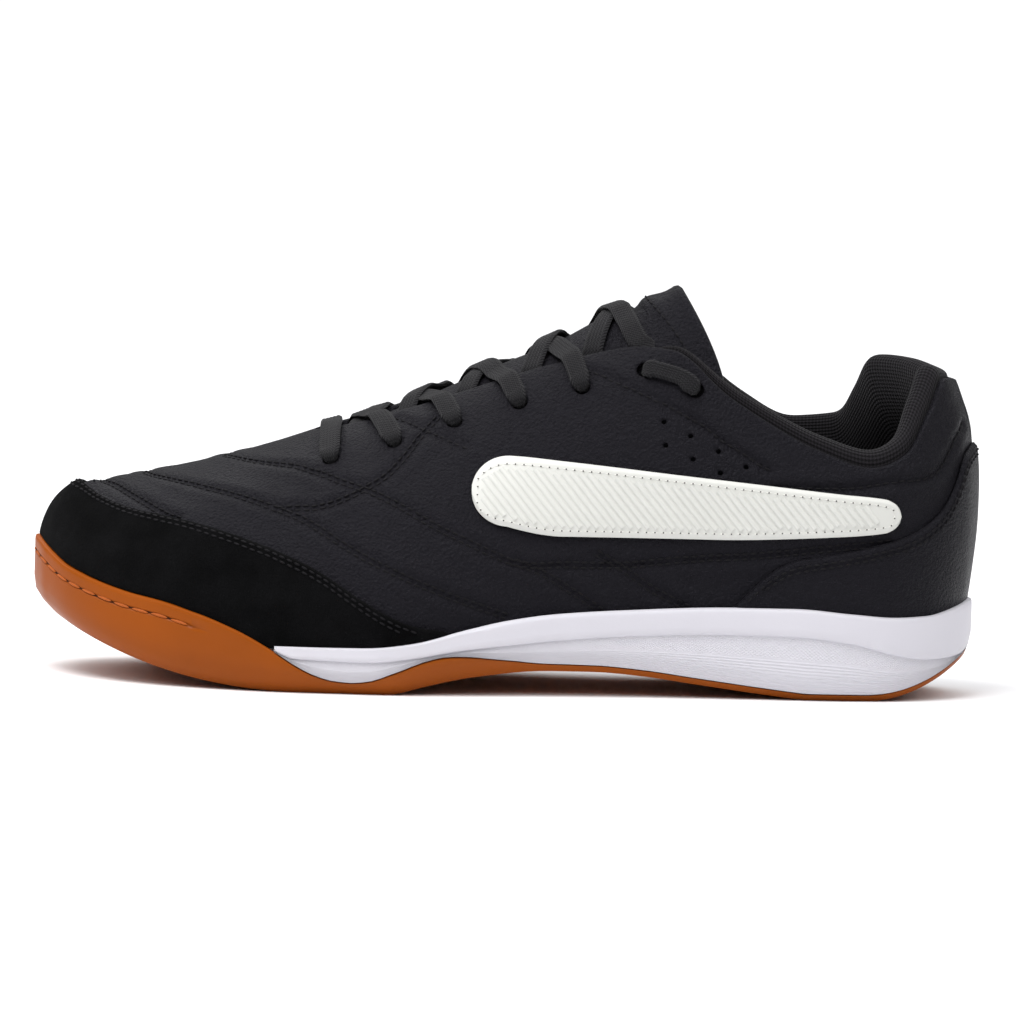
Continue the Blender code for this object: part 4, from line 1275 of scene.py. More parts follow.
def seam_paths(tree):
    """Centre lines of the seams on both sides, each with the flag for two rows."""
    found = []
    for double, places in SEAMS.values():
        sides = {}
        for side in SIDES:
            sides[side] = []
            for x, z in places:
                point = side_hit(tree, side, x / 1000, z / 1000) if z else None
                if point is None:
                    point = crown_at(side, x / 1000)
                sides[side].append(point)
        if places[0][1] == 0:
            found.append((double, Row(tree, sides[MEDIAL][:0:-1] + sides[LATERAL])))
        else:
            found += [(double, Row(tree, sides[side])) for side in SIDES]
    return found


def sheet_tree(grids):
    """Search tree of bare sheets."""
    points = []
    faces = []
    for grid in grids:
        base = len(points)
        width = len(grid[0])
        points += [point for row in grid for point in row]
        for i in range(len(grid) - 1):
            for j in range(width - 1):
                a = base + i * width + j
                faces.append((a, a + width, a + width + 1, a + 1))
    return BVHTree.FromPolygons(points, faces)


def nearest_seams(seams):
    """Search tree of all points of the seams."""
    places = [place for _, row in seams for place in row.places]
    tree = KDTree(len(places))
    for i, place in enumerate(places):
        tree.insert(place, i)
    tree.balance()
    return tree


# Parts of each ray where the leather has points, closer together where its cut edge is eased
EASE_START = 0.985
EASE_SHARE = 0.35
UPPER_PARTS = [EASE_START * i / 62 for i in range(63)] + [0.992, 0.997, 1.0]

# How the leather is pulled in along a seam and swells beside it, in metres
PINCH_REACH = 0.0013
PUFF_PLACE = 0.0035
PUFF_REACH = 0.0022
PUFF_SHARE = 0.45

# Unevenness of each surface.  Columns: height in metres, waves per metre.
UPPER_WAVES = ((0.00018, 55), (0.00009, 160))
GUARD_WAVES = ((0.00012, 240), (0.00010, 90))
COUNTER_WAVES = ((0.00012, 70),)
TONGUE_WAVES = ((0.0003, 45),)

SMALL_HOLE_RADIUS = 0.0008
DRILL_LENGTH = 0.006


def eased_throat(side, rungs):
    """Factors that round the leather's cut edge along throat and topline."""
    rows = []
    for rung in rungs:
        open_here = smoothstep(THROAT_START, THROAT_START + 0.3, rung)
        row = [1.0]
        for u in UPPER_PARTS:
            eased = max(0.0, u - EASE_START) / (1 - EASE_START)
            row.append(1.0 - EASE_SHARE * open_here * eased ** 2)
        rows.append(row if side == LATERAL else row[::-1])
    return rows


def lace_holes(side):
    """Centre, outward normal and radius of each lace hole on one side."""
    holes = []
    for x_share, z_share, _ in HOLES:
        rung, u = find_on_upper(side, x_share * LENGTH, z_share * INSTEP_HEIGHT)
        holes.append((upper_point(side, rung, u), upper_normal(side, rung, u), HOLE_DIAMETER / 2))
    return holes


# Shift of the drills that leaves a skin of leather behind the small holes
BLIND_SHIFT = 0.0017


def small_holes(side):
    """The same for the row of small holes, which don't go through."""
    holes = []
    for x, z in PERFORATIONS:
        rung, u = find_on_upper(side, x / 1000, z / 1000)
        normal = upper_normal(side, rung, u)
        centre = upper_point(side, rung, u) + normal * BLIND_SHIFT
        holes.append((centre, normal, SMALL_HOLE_RADIUS))
    return holes


def uneven(waves):
    """Relief made of waves, as a function of a place and its normal."""
    def relief(place, _):
        return sum(height * noise.noise(place * scale) for height, scale in waves)
    return relief


def drill_tree():
    """Rods that stand on points along their attribute up."""
    tree, entry = new_tree("Drills", {"Length": DRILL_LENGTH})
    points = add_node(tree, "GeometryNodeMeshToPoints", {"Mesh": entry.outputs["Geometry"]})
    rod = add_node(tree, "GeometryNodeMeshCylinder", {"Vertices": 24, "Radius": 1.0,
                                                      "Depth": entry.outputs["Length"]})
    wide = attribute(tree, "radius_m", "FLOAT")
    turned = add_node(tree, "FunctionNodeAlignRotationToVector",
                      {"Vector": attribute(tree, "up")}, axis="Z")
    size = add_node(tree, "ShaderNodeCombineXYZ", {"X": wide, "Y": wide, "Z": 1.0})
    placed = add_node(tree, "GeometryNodeInstanceOnPoints",
                      {"Points": points.outputs[0], "Instance": rod.outputs[0],
                       "Rotation": turned.outputs[0], "Scale": size.outputs[0]})
    return close_tree(tree, entry, placed.outputs[0])


def drill_object(holes, tree, finish):
    """Object made of rods in the holes, in its final place."""
    mesh = bpy.data.meshes.new("drills")
    mesh.from_pydata([centre - ORIGIN for centre, _, _ in holes], [], [])
    up = mesh.attributes.new("up", "FLOAT_VECTOR", "POINT")
    up.data.foreach_set("vector", [value for _, normal, _ in holes for value in normal])
    wide = mesh.attributes.new("radius_m", "FLOAT", "POINT")
    wide.data.foreach_set("value", [radius for _, _, radius in holes])
    carrier = bpy.data.objects.new("drills", mesh)
    bpy.context.scene.collection.objects.link(carrier)
    modifier = carrier.modifiers.new("Rods", "NODES")
    modifier.node_group = tree
    for socket in tree.interface.items_tree:
        if socket.item_type == "SOCKET" and socket.name == "Material":
            modifier[socket.identifier] = finish
    settle(carrier)
    return carrier


def dress_upper(finish, seam_depth):
    """Leather upper with pinched seams and punched holes.  Returns the seams and the bare face."""
    rungs = fine_rungs(FINEST_STEP, THROAT_START)
    grids = [side_grid(side, rungs, UPPER_PARTS) for side in SIDES]
    base = sheet_tree(grids)
    seams = seam_paths(base)
    near = nearest_seams(seams)
    soft = uneven(UPPER_WAVES)

    def relief(place, normal):
        distance = near.find(place)[2]
        pinch = -seam_depth * math.exp(-(distance / PINCH_REACH) ** 2)
        away = (distance - PUFF_PLACE) / PUFF_REACH
        puff = PUFF_SHARE * seam_depth * math.exp(-away ** 2)
        return pinch + puff + soft(place, normal)

    solid = shell(grids, -UPPER_WALL, 0.0, relief,
                  [eased_throat(side, rungs) for side in SIDES])
    mesh = bpy.data.meshes.new("upper_leather")
    solid.to_mesh(mesh)
    solid.free()
    holes = [hole for side in SIDES for hole in lace_holes(side) + small_holes(side)]
    drills = drill_object(holes, drill_tree(), finish)
    piece_from_mesh("upper_leather", mesh, finish, ("upper",), 40, cutter=drills)
    return seams, base


# Least height of an overlay, as a part of the ray; thickness left at its rounded edges
LEAST_BAND = 0.006
EDGE_LEFT = 0.25

# Steps up the toe guard and the heel counter, and how far in their edges are rounded
GUARD_LINES = 26
GUARD_EASE = 0.0012
COUNTER_LINES = 34
COUNTER_EASE = 0.0018


def band_sheet(side_rungs, low_edge, high_edge, rows, ease, ends=(False, False)):
    """Grid of points between two edges along a run of rays, and factors that round its edges.

    The edges are functions of x; no low edge means the sole line.  ends tells whether the
    first and the last ray are edges too.
    """
    grid = []
    for side, rung in side_rungs:
        low = ray_share(side, rung, low_edge) if low_edge else 0.0
        high = max(ray_share(side, rung, high_edge), low + LEAST_BAND)
        grid.append([upper_point(side, rung, low + (high - low) * i / rows)
                     for i in range(rows + 1)])
    factors = []
    for i, row in enumerate(grid):
        from_end = []
        if ends[0]:
            from_end.append(sum((grid[k + 1][0] - grid[k][0]).length for k in range(i)))
        if ends[1]:
            from_end.append(sum((grid[k + 1][0] - grid[k][0]).length
                                for k in range(i, len(grid) - 1)))
        line = []
        for j, point in enumerate(row):
            reach = [(row[-1] - point).length] + from_end
            if low_edge:
                reach.append((row[0] - point).length)
            t = min(1.0, min(reach) / ease)
            line.append(EDGE_LEFT + (1 - EDGE_LEFT) * math.sqrt(max(0.0, 1 - (1 - t) ** 2)))
        factors.append(line)
    return grid, factors


def guard_edge(x):
    return read_guard(x / LENGTH)[0] * INSTEP_HEIGHT


def counter_edge(x):
    return read_counter(x / LENGTH)[0] * INSTEP_HEIGHT


def both_sides(rungs, through):
    """Run of side and rung round the toe or the heel."""
    if through == "toe":
        run = [(LATERAL, rung) for rung in rungs[::-1]] + [(MEDIAL, rung) for rung in rungs[1:]]
        return run[::-1]
    return [(LATERAL, rung) for rung in rungs] + [(MEDIAL, rung) for rung in rungs[-2::-1]]


def dress_toe_guard(finish):
    run = both_sides(rung_range(0, GUARD_END, FINEST_STEP), "toe")
    grid, factors = band_sheet(run, None, guard_edge, GUARD_LINES, GUARD_EASE)
    solid = shell([grid], GAP, GAP + OVERLAY, uneven(GUARD_WAVES), [factors])
    return piece("toe_guard_suede", solid, finish, ("toe_guard",), 60)


def dress_heel_counter(finish):
    run = both_sides(rung_range(COUNTER_START, LAST_RUNG, FINEST_STEP), "heel")
    grid, factors = band_sheet(run, None, counter_edge, COUNTER_LINES, COUNTER_EASE, (True, True))
    solid = shell([grid], GAP, GAP + OVERLAY, uneven(COUNTER_WAVES), [factors])
    return piece("heel_counter_leather", solid, finish, ("heel_counter",), 50)


def edge_rows(tree, run, edge, drops):
    """Rows on an overlay, at distances below its top edge."""
    rows = []
    probe = 0.02
    least = 0.03
    for drop in drops:
        points = []
        for side, rung in run:
            high = ray_share(side, rung, edge)
            length = (upper_point(side, rung, high) - upper_point(side, rung, high - probe)).length
            low = high - probe * drop / length
            if low > least:
                above = upper_normal(side, rung, low) * (GAP + OVERLAY)
                points.append(upper_point(side, rung, low) + above)
        rows.append(Row(tree, points))
    return rows


PANEL_FRONT = PANEL_EDGES[0][0] * LENGTH
PANEL_BACK = PANEL_EDGES[-1][0] * LENGTH
PANEL_ENDS = ((PANEL_FRONT, 0.0115), (PANEL_BACK, 0.0048))
PANEL_COLUMNS = 150
PANEL_LINES = 26
PANEL_EASE = 0.0012
PANEL_BORDER = 0.0026
RIB_PITCH = 0.0026
RIB_LEAN = 0.85
RIB_STEP = 0.001
RIB_SPACING = 0.0009
RIB_MARGIN = 0.02
PANEL_TRIM = 0.00005


def panel_span(x):
    """Lower and upper edge of a side panel at x, with both of its ends rounded."""
    held = min(max(x, PANEL_EDGES[2][0] * LENGTH), PANEL_EDGES[-2][0] * LENGTH)
    low, high = [share * INSTEP_HEIGHT for share in read_panel(held / LENGTH)]
    half = (high - low) / 2
    for end, radius in PANEL_ENDS:
        away = abs(x - end)
        if away < radius:
            half *= math.sqrt(max(0.0, away * (2 * radius - away))) / radius
    return (low + high) / 2 - half, (low + high) / 2 + half


def dress_panel(side, node, finish, bare):
    """Side panel, laid out in the side view and set on the bare upper."""
    middle = (PANEL_FRONT + PANEL_BACK) / 2
    reach = (PANEL_BACK - PANEL_FRONT) / 2 - PANEL_TRIM
    grid = []
    factors = []
    for i in range(PANEL_COLUMNS + 1):
        # Columns close up towards both ends
        x = middle - reach * math.cos(math.pi * i / PANEL_COLUMNS)
        low, high = panel_span(x)
        row = []
        eased = []
        for j in range(PANEL_LINES + 1):
            share = 0.5 - 0.5 * math.cos(math.pi * j / PANEL_LINES)
            row.append(side_hit(bare, side, x, low + (high - low) * share))
            edge = min(share, 1 - share) * (high - low)
            eased.append(1 - 0.5 * (1 - smoothstep(0.0, PANEL_EASE, edge)))
        grid.append(row if side == LATERAL else row[::-1])
        factors.append(eased if side == LATERAL else eased[::-1])
    solid = shell([grid], GAP, GAP + PANEL, None, [factors])
    return piece(node + "_synthetic", solid, finish, (node,), 50)


def panel_lines(tree, side):
    """Slanted lines across a side panel, inside its border."""
    rows = []
    middle = 0.5 * (PANEL_EDGES[3][1] + PANEL_EDGES[3][2]) * INSTEP_HEIGHT
    start = PANEL_FRONT - RIB_MARGIN
    end = PANEL_BACK + RIB_MARGIN
    count = round((end - start) / RIB_PITCH)
    for k in range(count + 1):
        points = []
        for step in range(-16, 17):
            z = middle + step * RIB_STEP
            x = start + k * RIB_PITCH - (z - middle) * RIB_LEAN
            if PANEL_FRONT + PANEL_BORDER < x < PANEL_BACK - 2 * PANEL_BORDER:
                low, high = panel_span(x)
                if low + PANEL_BORDER < z < high - PANEL_BORDER:
                    place = side_hit(tree, side, x, z)
                    if place:
                        points.append(place)
        if len(points) > 3:
            rows.append(Row(tree, points, RIB_SPACING))
    return rows


def panel_border_row(tree, side, inset):
    """Closed row just inside the edge of a side panel."""
    lows = []
    highs = []
    for x in np.linspace(PANEL_FRONT + inset, PANEL_BACK - inset, 70):
        low, high = panel_span(x)
        if high - low - 2 * inset > PANEL_EASE:
            lows.append(side_hit(tree, side, x, low + inset))
            highs.append(side_hit(tree, side, x, high - inset))
    points = [point for point in highs + lows[::-1] + highs[:1] if point]
    return Row(tree, points)


# Tongue and collar


def collar_thickness(rung):
    """Thickness of the padded collar at a rung, none in front of its ends."""
    if rung < COLLAR_START:
        return 0.0
    return read_collar(rung)[0] * COLLAR_THICK


# Points of the tongue's section: parts of the ray that its wings reach down; number of steps
# over the arch between them; powers of the arch's height and of its lean
TONGUE_WINGS = (0.26, 0.21, 0.16, 0.11, 0.06, 0.0)
TONGUE_ARCH = 22
ARCH_ROUNDNESS = 2.3
LEAN_SHARPNESS = 1.5


def tongue_row(rung):
    """Points across the tongue's top face at a rung, outer side first."""
    turn, rise, lean = read_tongue(rung)
    clear = UPPER_WALL + 2 * GAP
    if rung > COLLAR_START:
        clear += collar_thickness(rung) + 2 * GAP
    wings = {}
    for side in SIDES:
        wings[side] = [upper_point(side, rung, turn - drop)
                       - upper_normal(side, rung, turn - drop) * clear for drop in TONGUE_WINGS]
    start = wings[LATERAL][-1]
    end = wings[MEDIAL][-1]
    arch = []
    for i in range(1, TONGUE_ARCH):
        across = -1 + 2 * i / TONGUE_ARCH
        height = 1 - abs(across) ** ARCH_ROUNDNESS
        point = start.lerp(end, i / TONGUE_ARCH)
        point.z += rise * INSTEP_HEIGHT * height
        point.x -= lean * LENGTH * height ** LEAN_SHARPNESS
        arch.append(point)
    return wings[LATERAL] + arch + wings[MEDIAL][::-1]


def tongue_rungs():
    return rung_range(TONGUE_ROWS[0][0], TONGUE_ROWS[-1][0], 0.1)


def dress_tongue(finish):
    grid = [tongue_row(rung) for rung in tongue_rungs()]
    solid = shell([grid], -TONGUE_THICK, 0.0, uneven(TONGUE_WAVES))
    made = piece("tongue_leather", solid, finish, ("tongue",), 60, subdivide=1)
    return made


def tongue_edge_rows(tree):
    """Row of stitches just inside the tongue's top edge."""
    grid = [tongue_row(rung) for rung in tongue_rungs()]
    first = -22
    inset = 5
    left = [row[2] for row in grid[first:-inset]]
    right = [row[-3] for row in grid[first:-inset]]
    top = grid[-inset][3:-3]
    return [Row(tree, left + top + right[::-1])]


# Collar's section.  Where it follows the upper's inner face: parts of its depth.  Its roll:
# shares of the thickness inwards and of the rise.  Its inner face: part of the depth and share
# of the thickness.  The hem: share of the thickness.  Rung of the second section and the step
# from there on.
COLLAR_BACK = (1.0, 0.66, 0.33)
COLLAR_ROLL = ((0.0, 0.55), (0.22, 0.92), (0.55, 1.0), (0.88, 0.6))
COLLAR_FACE = ((0.20, 0.98), (0.60, 0.80))
COLLAR_HEM = 0.25
COLLAR_SECOND = 11.35
COLLAR_STEP = 0.175


def collar_section(side, rung):
    """Closed section of the collar: up the upper's inner face, over the edge and down."""
    share, rise, depth = read_collar(rung)
    thick = share * COLLAR_THICK
    rise *= INSTEP_HEIGHT
    crown = crown_point(side, rung)
    drop = depth * INSTEP_HEIGHT / (crown.z - ray_controls(side, rung)[1].z)
    inward = -outward(side, rung)
    clear = UPPER_WALL + GAP

    def inside(u, more):
        return upper_point(side, rung, u) - upper_normal(side, rung, u) * (clear + more)

    top = inside(1.0, 0.0) + Vector((0, 0, -GAP))
    up = Vector((0, 0, rise))
    section = [inside(1 - part * drop, 0.0) for part in COLLAR_BACK] + [top]
    section += [top + inward * (across * thick) + up * lift for across, lift in COLLAR_ROLL]
    section += [inside(1 - part * drop, across * thick) for part, across in COLLAR_FACE]
    return section + [inside(1 - drop, COLLAR_HEM * thick + GAP)]


def dress_collar(finish):
    rungs = [COLLAR_START] + rung_range(COLLAR_SECOND, LAST_RUNG, COLLAR_STEP)
    loops = [collar_section(LATERAL, rung) for rung in rungs]
    loops += [collar_section(MEDIAL, rung) for rung in rungs[-2::-1]]
    along = [0.0]
    for first, second in zip(loops, loops[1:]):
        along.append(along[-1] + (second[5] - first[5]).length)
    round_length = [0.0]
    widest = loops[len(loops) // 2]
    for first, second in zip(widest, widest[1:] + widest[:1]):
        round_length.append(round_length[-1] + (second - first).length)

    def uv(i, j):
        return along[i], round_length[j]

    made = piece("collar_mesh", loft(loops, True, uv), finish, ("collar",), 80,
                 subdivide=2)
    return made


# Laces


LACE_RIBS = 5
LACE_REFINE = 4
LACE_STEPS = 14
LAST_CROSSING = 5
GROUND_STEP = 0.25

# Section of a lace: its rounded edge and the depth of its ribs, shares of the thickness, and
# the power that makes the ribs full
LACE_EDGE = 0.45
LACE_RIB_DEPTH = 0.20
LACE_RIB_FULLNESS = 0.7


class LaceGround:
    """The faces that the laces lie on: the bare upper and the tongue."""

    def __init__(self):
        rungs = fine_rungs(GROUND_STEP, THROAT_START)
        grids = [side_grid(side, rungs, UPPER_PARTS[::3] + [1.0]) for side in SIDES]
        tongue = [tongue_row(rung) for rung in tongue_rungs()]
        self.all = sheet_tree(grids + [tongue])
        self.tongue = sheet_tree([tongue])

    def under(self, x, y, tongue_only=False):
        """Highest point of the ground under a place."""
        tree = self.tongue if tongue_only else self.all
        above = Vector((x, y, 2 * INSTEP_HEIGHT))
        hit = tree.ray_cast(above, Vector((0, 0, -1)))
        return hit[0] if hit[0] else tree.find_nearest(above)[0]


def ribbon_section(centre, across, normal, width, thickness):
    """Flat section with eased edges and lengthwise ribs on both faces."""
    half = width / 2
    edge = LACE_EDGE * thickness
    flat = half - edge
    steps = 4 * LACE_RIBS
    top = []
    for i in range(steps + 1):
        a = flat - 2 * flat * i / steps
        swell = abs(math.sin(math.pi * LACE_RIBS * i / steps)) ** LACE_RIB_FULLNESS
        top.append((a, thickness / 2 * (1 - LACE_RIB_DEPTH + LACE_RIB_DEPTH * swell)))
    outline = top + [(-half, 0.0)] + [(-a, -b) for a, b in top] + [(half, 0.0)]
    return [centre + across * a + normal * b for a, b in outline]


def refined(sections):
    """More sections on a smooth curve through the given ones."""
    centres = [section[0] for section in sections]
    ends = [centres[0] * 2 - centres[1]] + centres + [centres[-1] * 2 - centres[-2]]
    fine = []
    for i in range(len(sections) - 1):
        before, start, end, after = ends[i:i + 4]
        for k in range(LACE_REFINE):
            t = k / LACE_REFINE
            centre = curve_place(before, start, end, after, t)
            across = sections[i][1].lerp(sections[i + 1][1], t).normalized()
            normal = sections[i][2].lerp(sections[i + 1][2], t).normalized()
            width = sections[i][3] * (1 - t) + sections[i + 1][3] * t
            thickness = sections[i][4] * (1 - t) + sections[i + 1][4] * t
            fine.append((centre, across, normal, width, thickness))
    return fine + [sections[-1]]


def lace_solid(sections):
    """Closed ribbon through the sections, with its length and girth as its map."""
    fine = refined(sections)
    along = [0.0]
    for first, second in zip(fine, fine[1:]):
        along.append(along[-1] + (second[0] - first[0]).length)
    loops = [ribbon_section(*section) for section in fine]
    count = len(loops[0])

    def uv(i, j):
        return along[i], j / count

    return loft(loops, True, uv)


def ground_line(ground, start, way, on_tongue):
    """Places of a lace's middle on the ground, and the direction across it at each place.

    on_tongue tells whether the first and the last third lie on the tongue alone.
    """
    square = Vector((-way.y, way.x, 0.0)).normalized()
    third = LACE_STEPS // 3
    places = []
    sides = []
    for i in range(LACE_STEPS):
        spot = start + way * (i / (LACE_STEPS - 1))
        alone = (on_tongue[0] and i < third) or (on_tongue[1] and i >= LACE_STEPS - third)
        edges = []
        for sign in (-1, 0, 1):
            place = spot + square * (sign * LACE_WIDTH / 2)
            edges.append(ground.under(place.x, place.y, alone))
        left, middle, right = edges
        sides.append((right - left).normalized())
        places.append(Vector((spot.x, spot.y, max(middle.z, (left.z + right.z) / 2))))
    return places, sides


def pull_tight(places, sides):
    """Lift the places out of hollows, as a lace under tension lies, and even out its slope."""
    last = LACE_STEPS - 1
    for _ in range(10):
        for i in range(1, last):
            places[i].z = max(places[i].z, (places[i - 1].z + places[i + 1].z) / 2)
    for _ in range(3):
        sides = [(sides[max(i - 1, 0)] + sides[i] * 2 + sides[min(i + 1, last)]).normalized()
                 for i in range(LACE_STEPS)]
    return sides


def lace_over(ground, start, end, dives, hump=0.0):
    """Flat lace over the ground from start to end, lifted by hump where it crosses another.

    dives holds the hole at each end, or None where the lace is tucked in under the throat.
    """
    way = Vector((end.x - start.x, end.y - start.y, 0.0))
    places, sides = ground_line(ground, start, way, [dive is None for dive in dives])
    sides = pull_tight(places, sides)
    if hump:
        crossing = min(range(LACE_STEPS), key=lambda i: abs(places[i].y - CENTRE_CROSSING))
        for point in places:
            away = (point - places[crossing]).length
            point.z += hump * math.exp(-(away / HUMP_REACH) ** 4)
    sections = []
    for i in range(LACE_STEPS):
        ahead = places[min(i + 1, LACE_STEPS - 1)] - places[max(i - 1, 0)]
        normal = ahead.cross(sides[i]).normalized()
        if normal.z < 0:
            normal = -normal
        middle = places[i] + normal * (LACE_THICK / 2 + LACE_LIFT)
        sections.append((middle, sides[i], normal, LACE_WIDTH, LACE_THICK))
    level = way.normalized()
    if dives[0]:
        first = dive_sections(dives[0], sections[1])
    else:
        first = tuck_sections(ground, sections[0], -level)
    if dives[1]:
        last = dive_sections(dives[1], sections[-2])
    else:
        last = tuck_sections(ground, sections[-1], level)
    return lace_solid(first[::-1] + sections[1:-1] + last)


# Distance past the last full section, and share of the thickness that is left there
TUCKED = ((0.0020, 1.0), (0.0055, 0.40), (0.0100, 0.30))


def tuck_sections(ground, last, outward_way):
    """Sections that run a lace flat along the tongue and in under the throat's edge."""
    centre, across, _, width, _ = last
    made = []
    for reach, share in TUCKED:
        place, normal, _, _ = ground.tongue.find_nearest(centre + outward_way * reach)
        if normal.z < 0:
            normal = -normal
        thickness = LACE_THICK * share
        made.append((place + normal * (thickness / 2 + GAP / 4), across, normal, width, thickness))
    return made


# How a lace enters a hole: distance from the hole's centre, share of its diameter, and width,
# share of LACE_WIDTH, of the section before the hole and of the one on its edge; the end in the
# hole: depth as a share of UPPER_WALL, width and thickness as shares of the diameter
BEFORE_HOLE = (0.55, 0.92)
ON_HOLE = (0.12, 0.76)
IN_HOLE = (0.8, 0.80, 0.45)


def dive_sections(hole, last):
    """Sections that narrow the lace after its last full one and turn it down into a hole."""
    centre, axis, _ = hole
    back = last[0] - centre
    back = (back - axis * back.dot(axis)).normalized()
    across = axis.cross(back).normalized()
    if across.dot(last[1]) < 0:
        across = -across
    tilted = (axis - back).normalized()
    over = centre + axis * (LACE_THICK / 2 + LACE_LIFT)
    before, before_width = BEFORE_HOLE
    edge, edge_width = ON_HOLE
    depth, end_width, end_thickness = IN_HOLE
    return [
        (over + back * (before * HOLE_DIAMETER), across, axis, before_width * LACE_WIDTH,
         LACE_THICK),
        (over - axis * GAP + back * (edge * HOLE_DIAMETER), across, tilted,
         edge_width * LACE_WIDTH, LACE_THICK),
        (centre - axis * (depth * UPPER_WALL), across, -back, end_width * HOLE_DIAMETER,
         end_thickness * HOLE_DIAMETER),
    ]


def throat_place(side, x_share):
    """Place just inside the throat's edge at a share of the length."""
    rung = solve(lambda at: crown_point(side, at).x - x_share * LENGTH, THROAT_START, 12.0)
    crown = crown_point(side, rung)
    return Vector((crown.x, crown.y - side * (LACE_WIDTH / 2 + 4 * GAP), 0.0))


def lace_run(side, low, high):
    """Flat lace that lies on the upper between the two top holes of one side."""
    ends = [find_on_upper(side, x * LENGTH, z * INSTEP_HEIGHT) for x, z, _ in HOLES[-2:]]
    places = []
    for share in (0.0, 0.25, 0.5, 0.75, 1.0):
        rung = ends[0][0] + (ends[1][0] - ends[0][0]) * share
        u = ends[0][1] + (ends[1][1] - ends[0][1]) * share
        normal = upper_normal(side, rung, u)
        lift = LACE_THICK / 2 + LACE_LIFT
        places.append((upper_point(side, rung, u) + normal * lift, normal))
    way = (places[-1][0] - places[0][0]).normalized()
    sections = [(spot, normal.cross(way).normalized(), normal, RUN_WIDTH, LACE_THICK)
                for spot, normal in places]
    return lace_solid(dive_sections(low, sections[1])[::-1] + sections[1:-1]
                      + dive_sections(high, sections[-2]))


def join_solids(solids):
    """One bmesh that holds several solids."""
    joined = bmesh.new()
    for solid in solids:
        mesh = bpy.data.meshes.new("joining")
        solid.to_mesh(mesh)
        solid.free()
        joined.from_mesh(mesh)
        bpy.data.meshes.remove(mesh)
    return joined


def dress_laces(finish):
    ground = LaceGround()
    holes = {side: lace_holes(side) for side in SIDES}
    bar = lace_over(ground, holes[LATERAL][0][0], holes[MEDIAL][0][0],
                    (holes[LATERAL][0], holes[MEDIAL][0]))
    piece("lace_bar_woven", bar, finish, ("lace_bar",), 50)
    for i in range(1, LAST_CROSSING + 1):
        arms = []
        for side in SIDES:
            target = holes[-side][i] if i < LAST_CROSSING else None
            end = target[0] if target else throat_place(-side, HOLES[i][2])
            on_top = (side == MEDIAL) == (i % 2 == 1)
            arms.append(lace_over(ground, throat_place(side, HOLES[i - 1][2]), end,
                                  (None, target), HUMP_LIFT if on_top else 0.0))
        piece("lace_cross_woven_%d" % i, join_solids(arms), finish,
              ("lace_cross_%d" % i,), 50)
    for side, name in SIDE_NAMES.items():
        piece("lace_run_woven_" + name, lace_run(side, holes[side][5], holes[side][6]), finish,
              ("lace_run_" + name,), 50)


# Stitching


# Thread sizes that the user's settings don't hold
HEAVY_STITCH = {"Pitch": 0.0068, "Length": 0.0061, "Width": 0.0010, "Height": 0.0008}
LIGHT_STITCH = {"Width": 0.0005, "Height": 0.0003}
# NEEDLE_HOLE: size of the dark dots at each stitch, painted shadow of the needle holes
NEEDLE_HOLE = {"Length": 0.0005, "Width": 0.0005, "Height": 0.00025}
GROOVE_SHADOW = {"Width": 0.0011, "Height": 0.0003}
PANEL_RIB = {"Width": 0.0016, "Height": 0.0009}

# How far the middle of a thread, a dot of painted needle-hole shadow or a rib lies above the
# surface
THREAD_LIFT = 0.00012
SUEDE_THREAD_LIFT = 0.00010
HEAVY_THREAD_LIFT = 0.00035
LIGHT_THREAD_LIFT = 0.00004
NEEDLE_HOLE_LIFT = 0.00022
RIB_LIFT = 0.00002

# Distances of the stitch rows from the edges of guard, counter and side panel
GUARD_DROPS = (0.0016, 0.0032)
COUNTER_DROPS = (0.0023, 0.0037)
BORDER_INSET = 0.0019


def sew(name, rows, lift, tree, values, finish):
    """Finished piece from a tree that runs along rows, lifted off the surface."""
    run_tree(name, row_mesh("rows", rows, lift), tree, values, finish_named(finish))


def dress_stitches(values, seams):
    stitches = stitch_tree()
    leather = surface_tree("upper_leather")
    rows = []
    for double, row in seams:
        for distance in (SEAM_HALF, -SEAM_HALF) if double else (0.0,):
            rows.append(row.beside(distance, leather))
    sew("upper_stitches", rows, THREAD_LIFT, stitches, values, "thread")

    run = both_sides(rung_range(0, 8.5, 0.2), "toe")
    rows = edge_rows(surface_tree("toe_guard_suede"), run, guard_edge, GUARD_DROPS)
    sew("toe_guard_stitches", rows, SUEDE_THREAD_LIFT, stitches, values, "thread")

    run = both_sides(rung_range(12.0, LAST_RUNG, 0.2), "heel")
    rows = edge_rows(surface_tree("heel_counter_leather"), run, counter_edge, COUNTER_DROPS)
    sew("heel_counter_stitches", rows, THREAD_LIFT, stitches, values, "thread")

    rows = tongue_edge_rows(surface_tree("tongue_leather"))
    sew("tongue_stitches", rows, THREAD_LIFT, stitches, values, "thread")

    ribs = rib_tree()
    rows = toe_stitch_rows(surface_tree("outsole_rubber"))
    sew("toe_groove_stitches", rows, HEAVY_THREAD_LIFT, stitches, HEAVY_STITCH, "gum_thread")
    sew("toe_groove_shadow", rows, RIB_LIFT, ribs, GROOVE_SHADOW, "groove")

    for side, name in SIDE_NAMES.items():
        face = surface_tree("side_panel_" + name + "_synthetic")
        border = [panel_border_row(face, side, BORDER_INSET)]
        sew("side_panel_%s_stitches" % name, border, LIGHT_THREAD_LIFT, stitches,
            dict(values, **LIGHT_STITCH), "panel_thread")
        # Dark dots at each stitch: painted shadow of the needle holes
        sew("side_panel_%s_needle_holes" % name, border, NEEDLE_HOLE_LIFT, stitches,
            dict(values, **NEEDLE_HOLE), "needle_hole")
        sew("side_panel_%s_ribs" % name, panel_lines(face, side), RIB_LIFT, ribs, PANEL_RIB,
            "panel")


# Studio

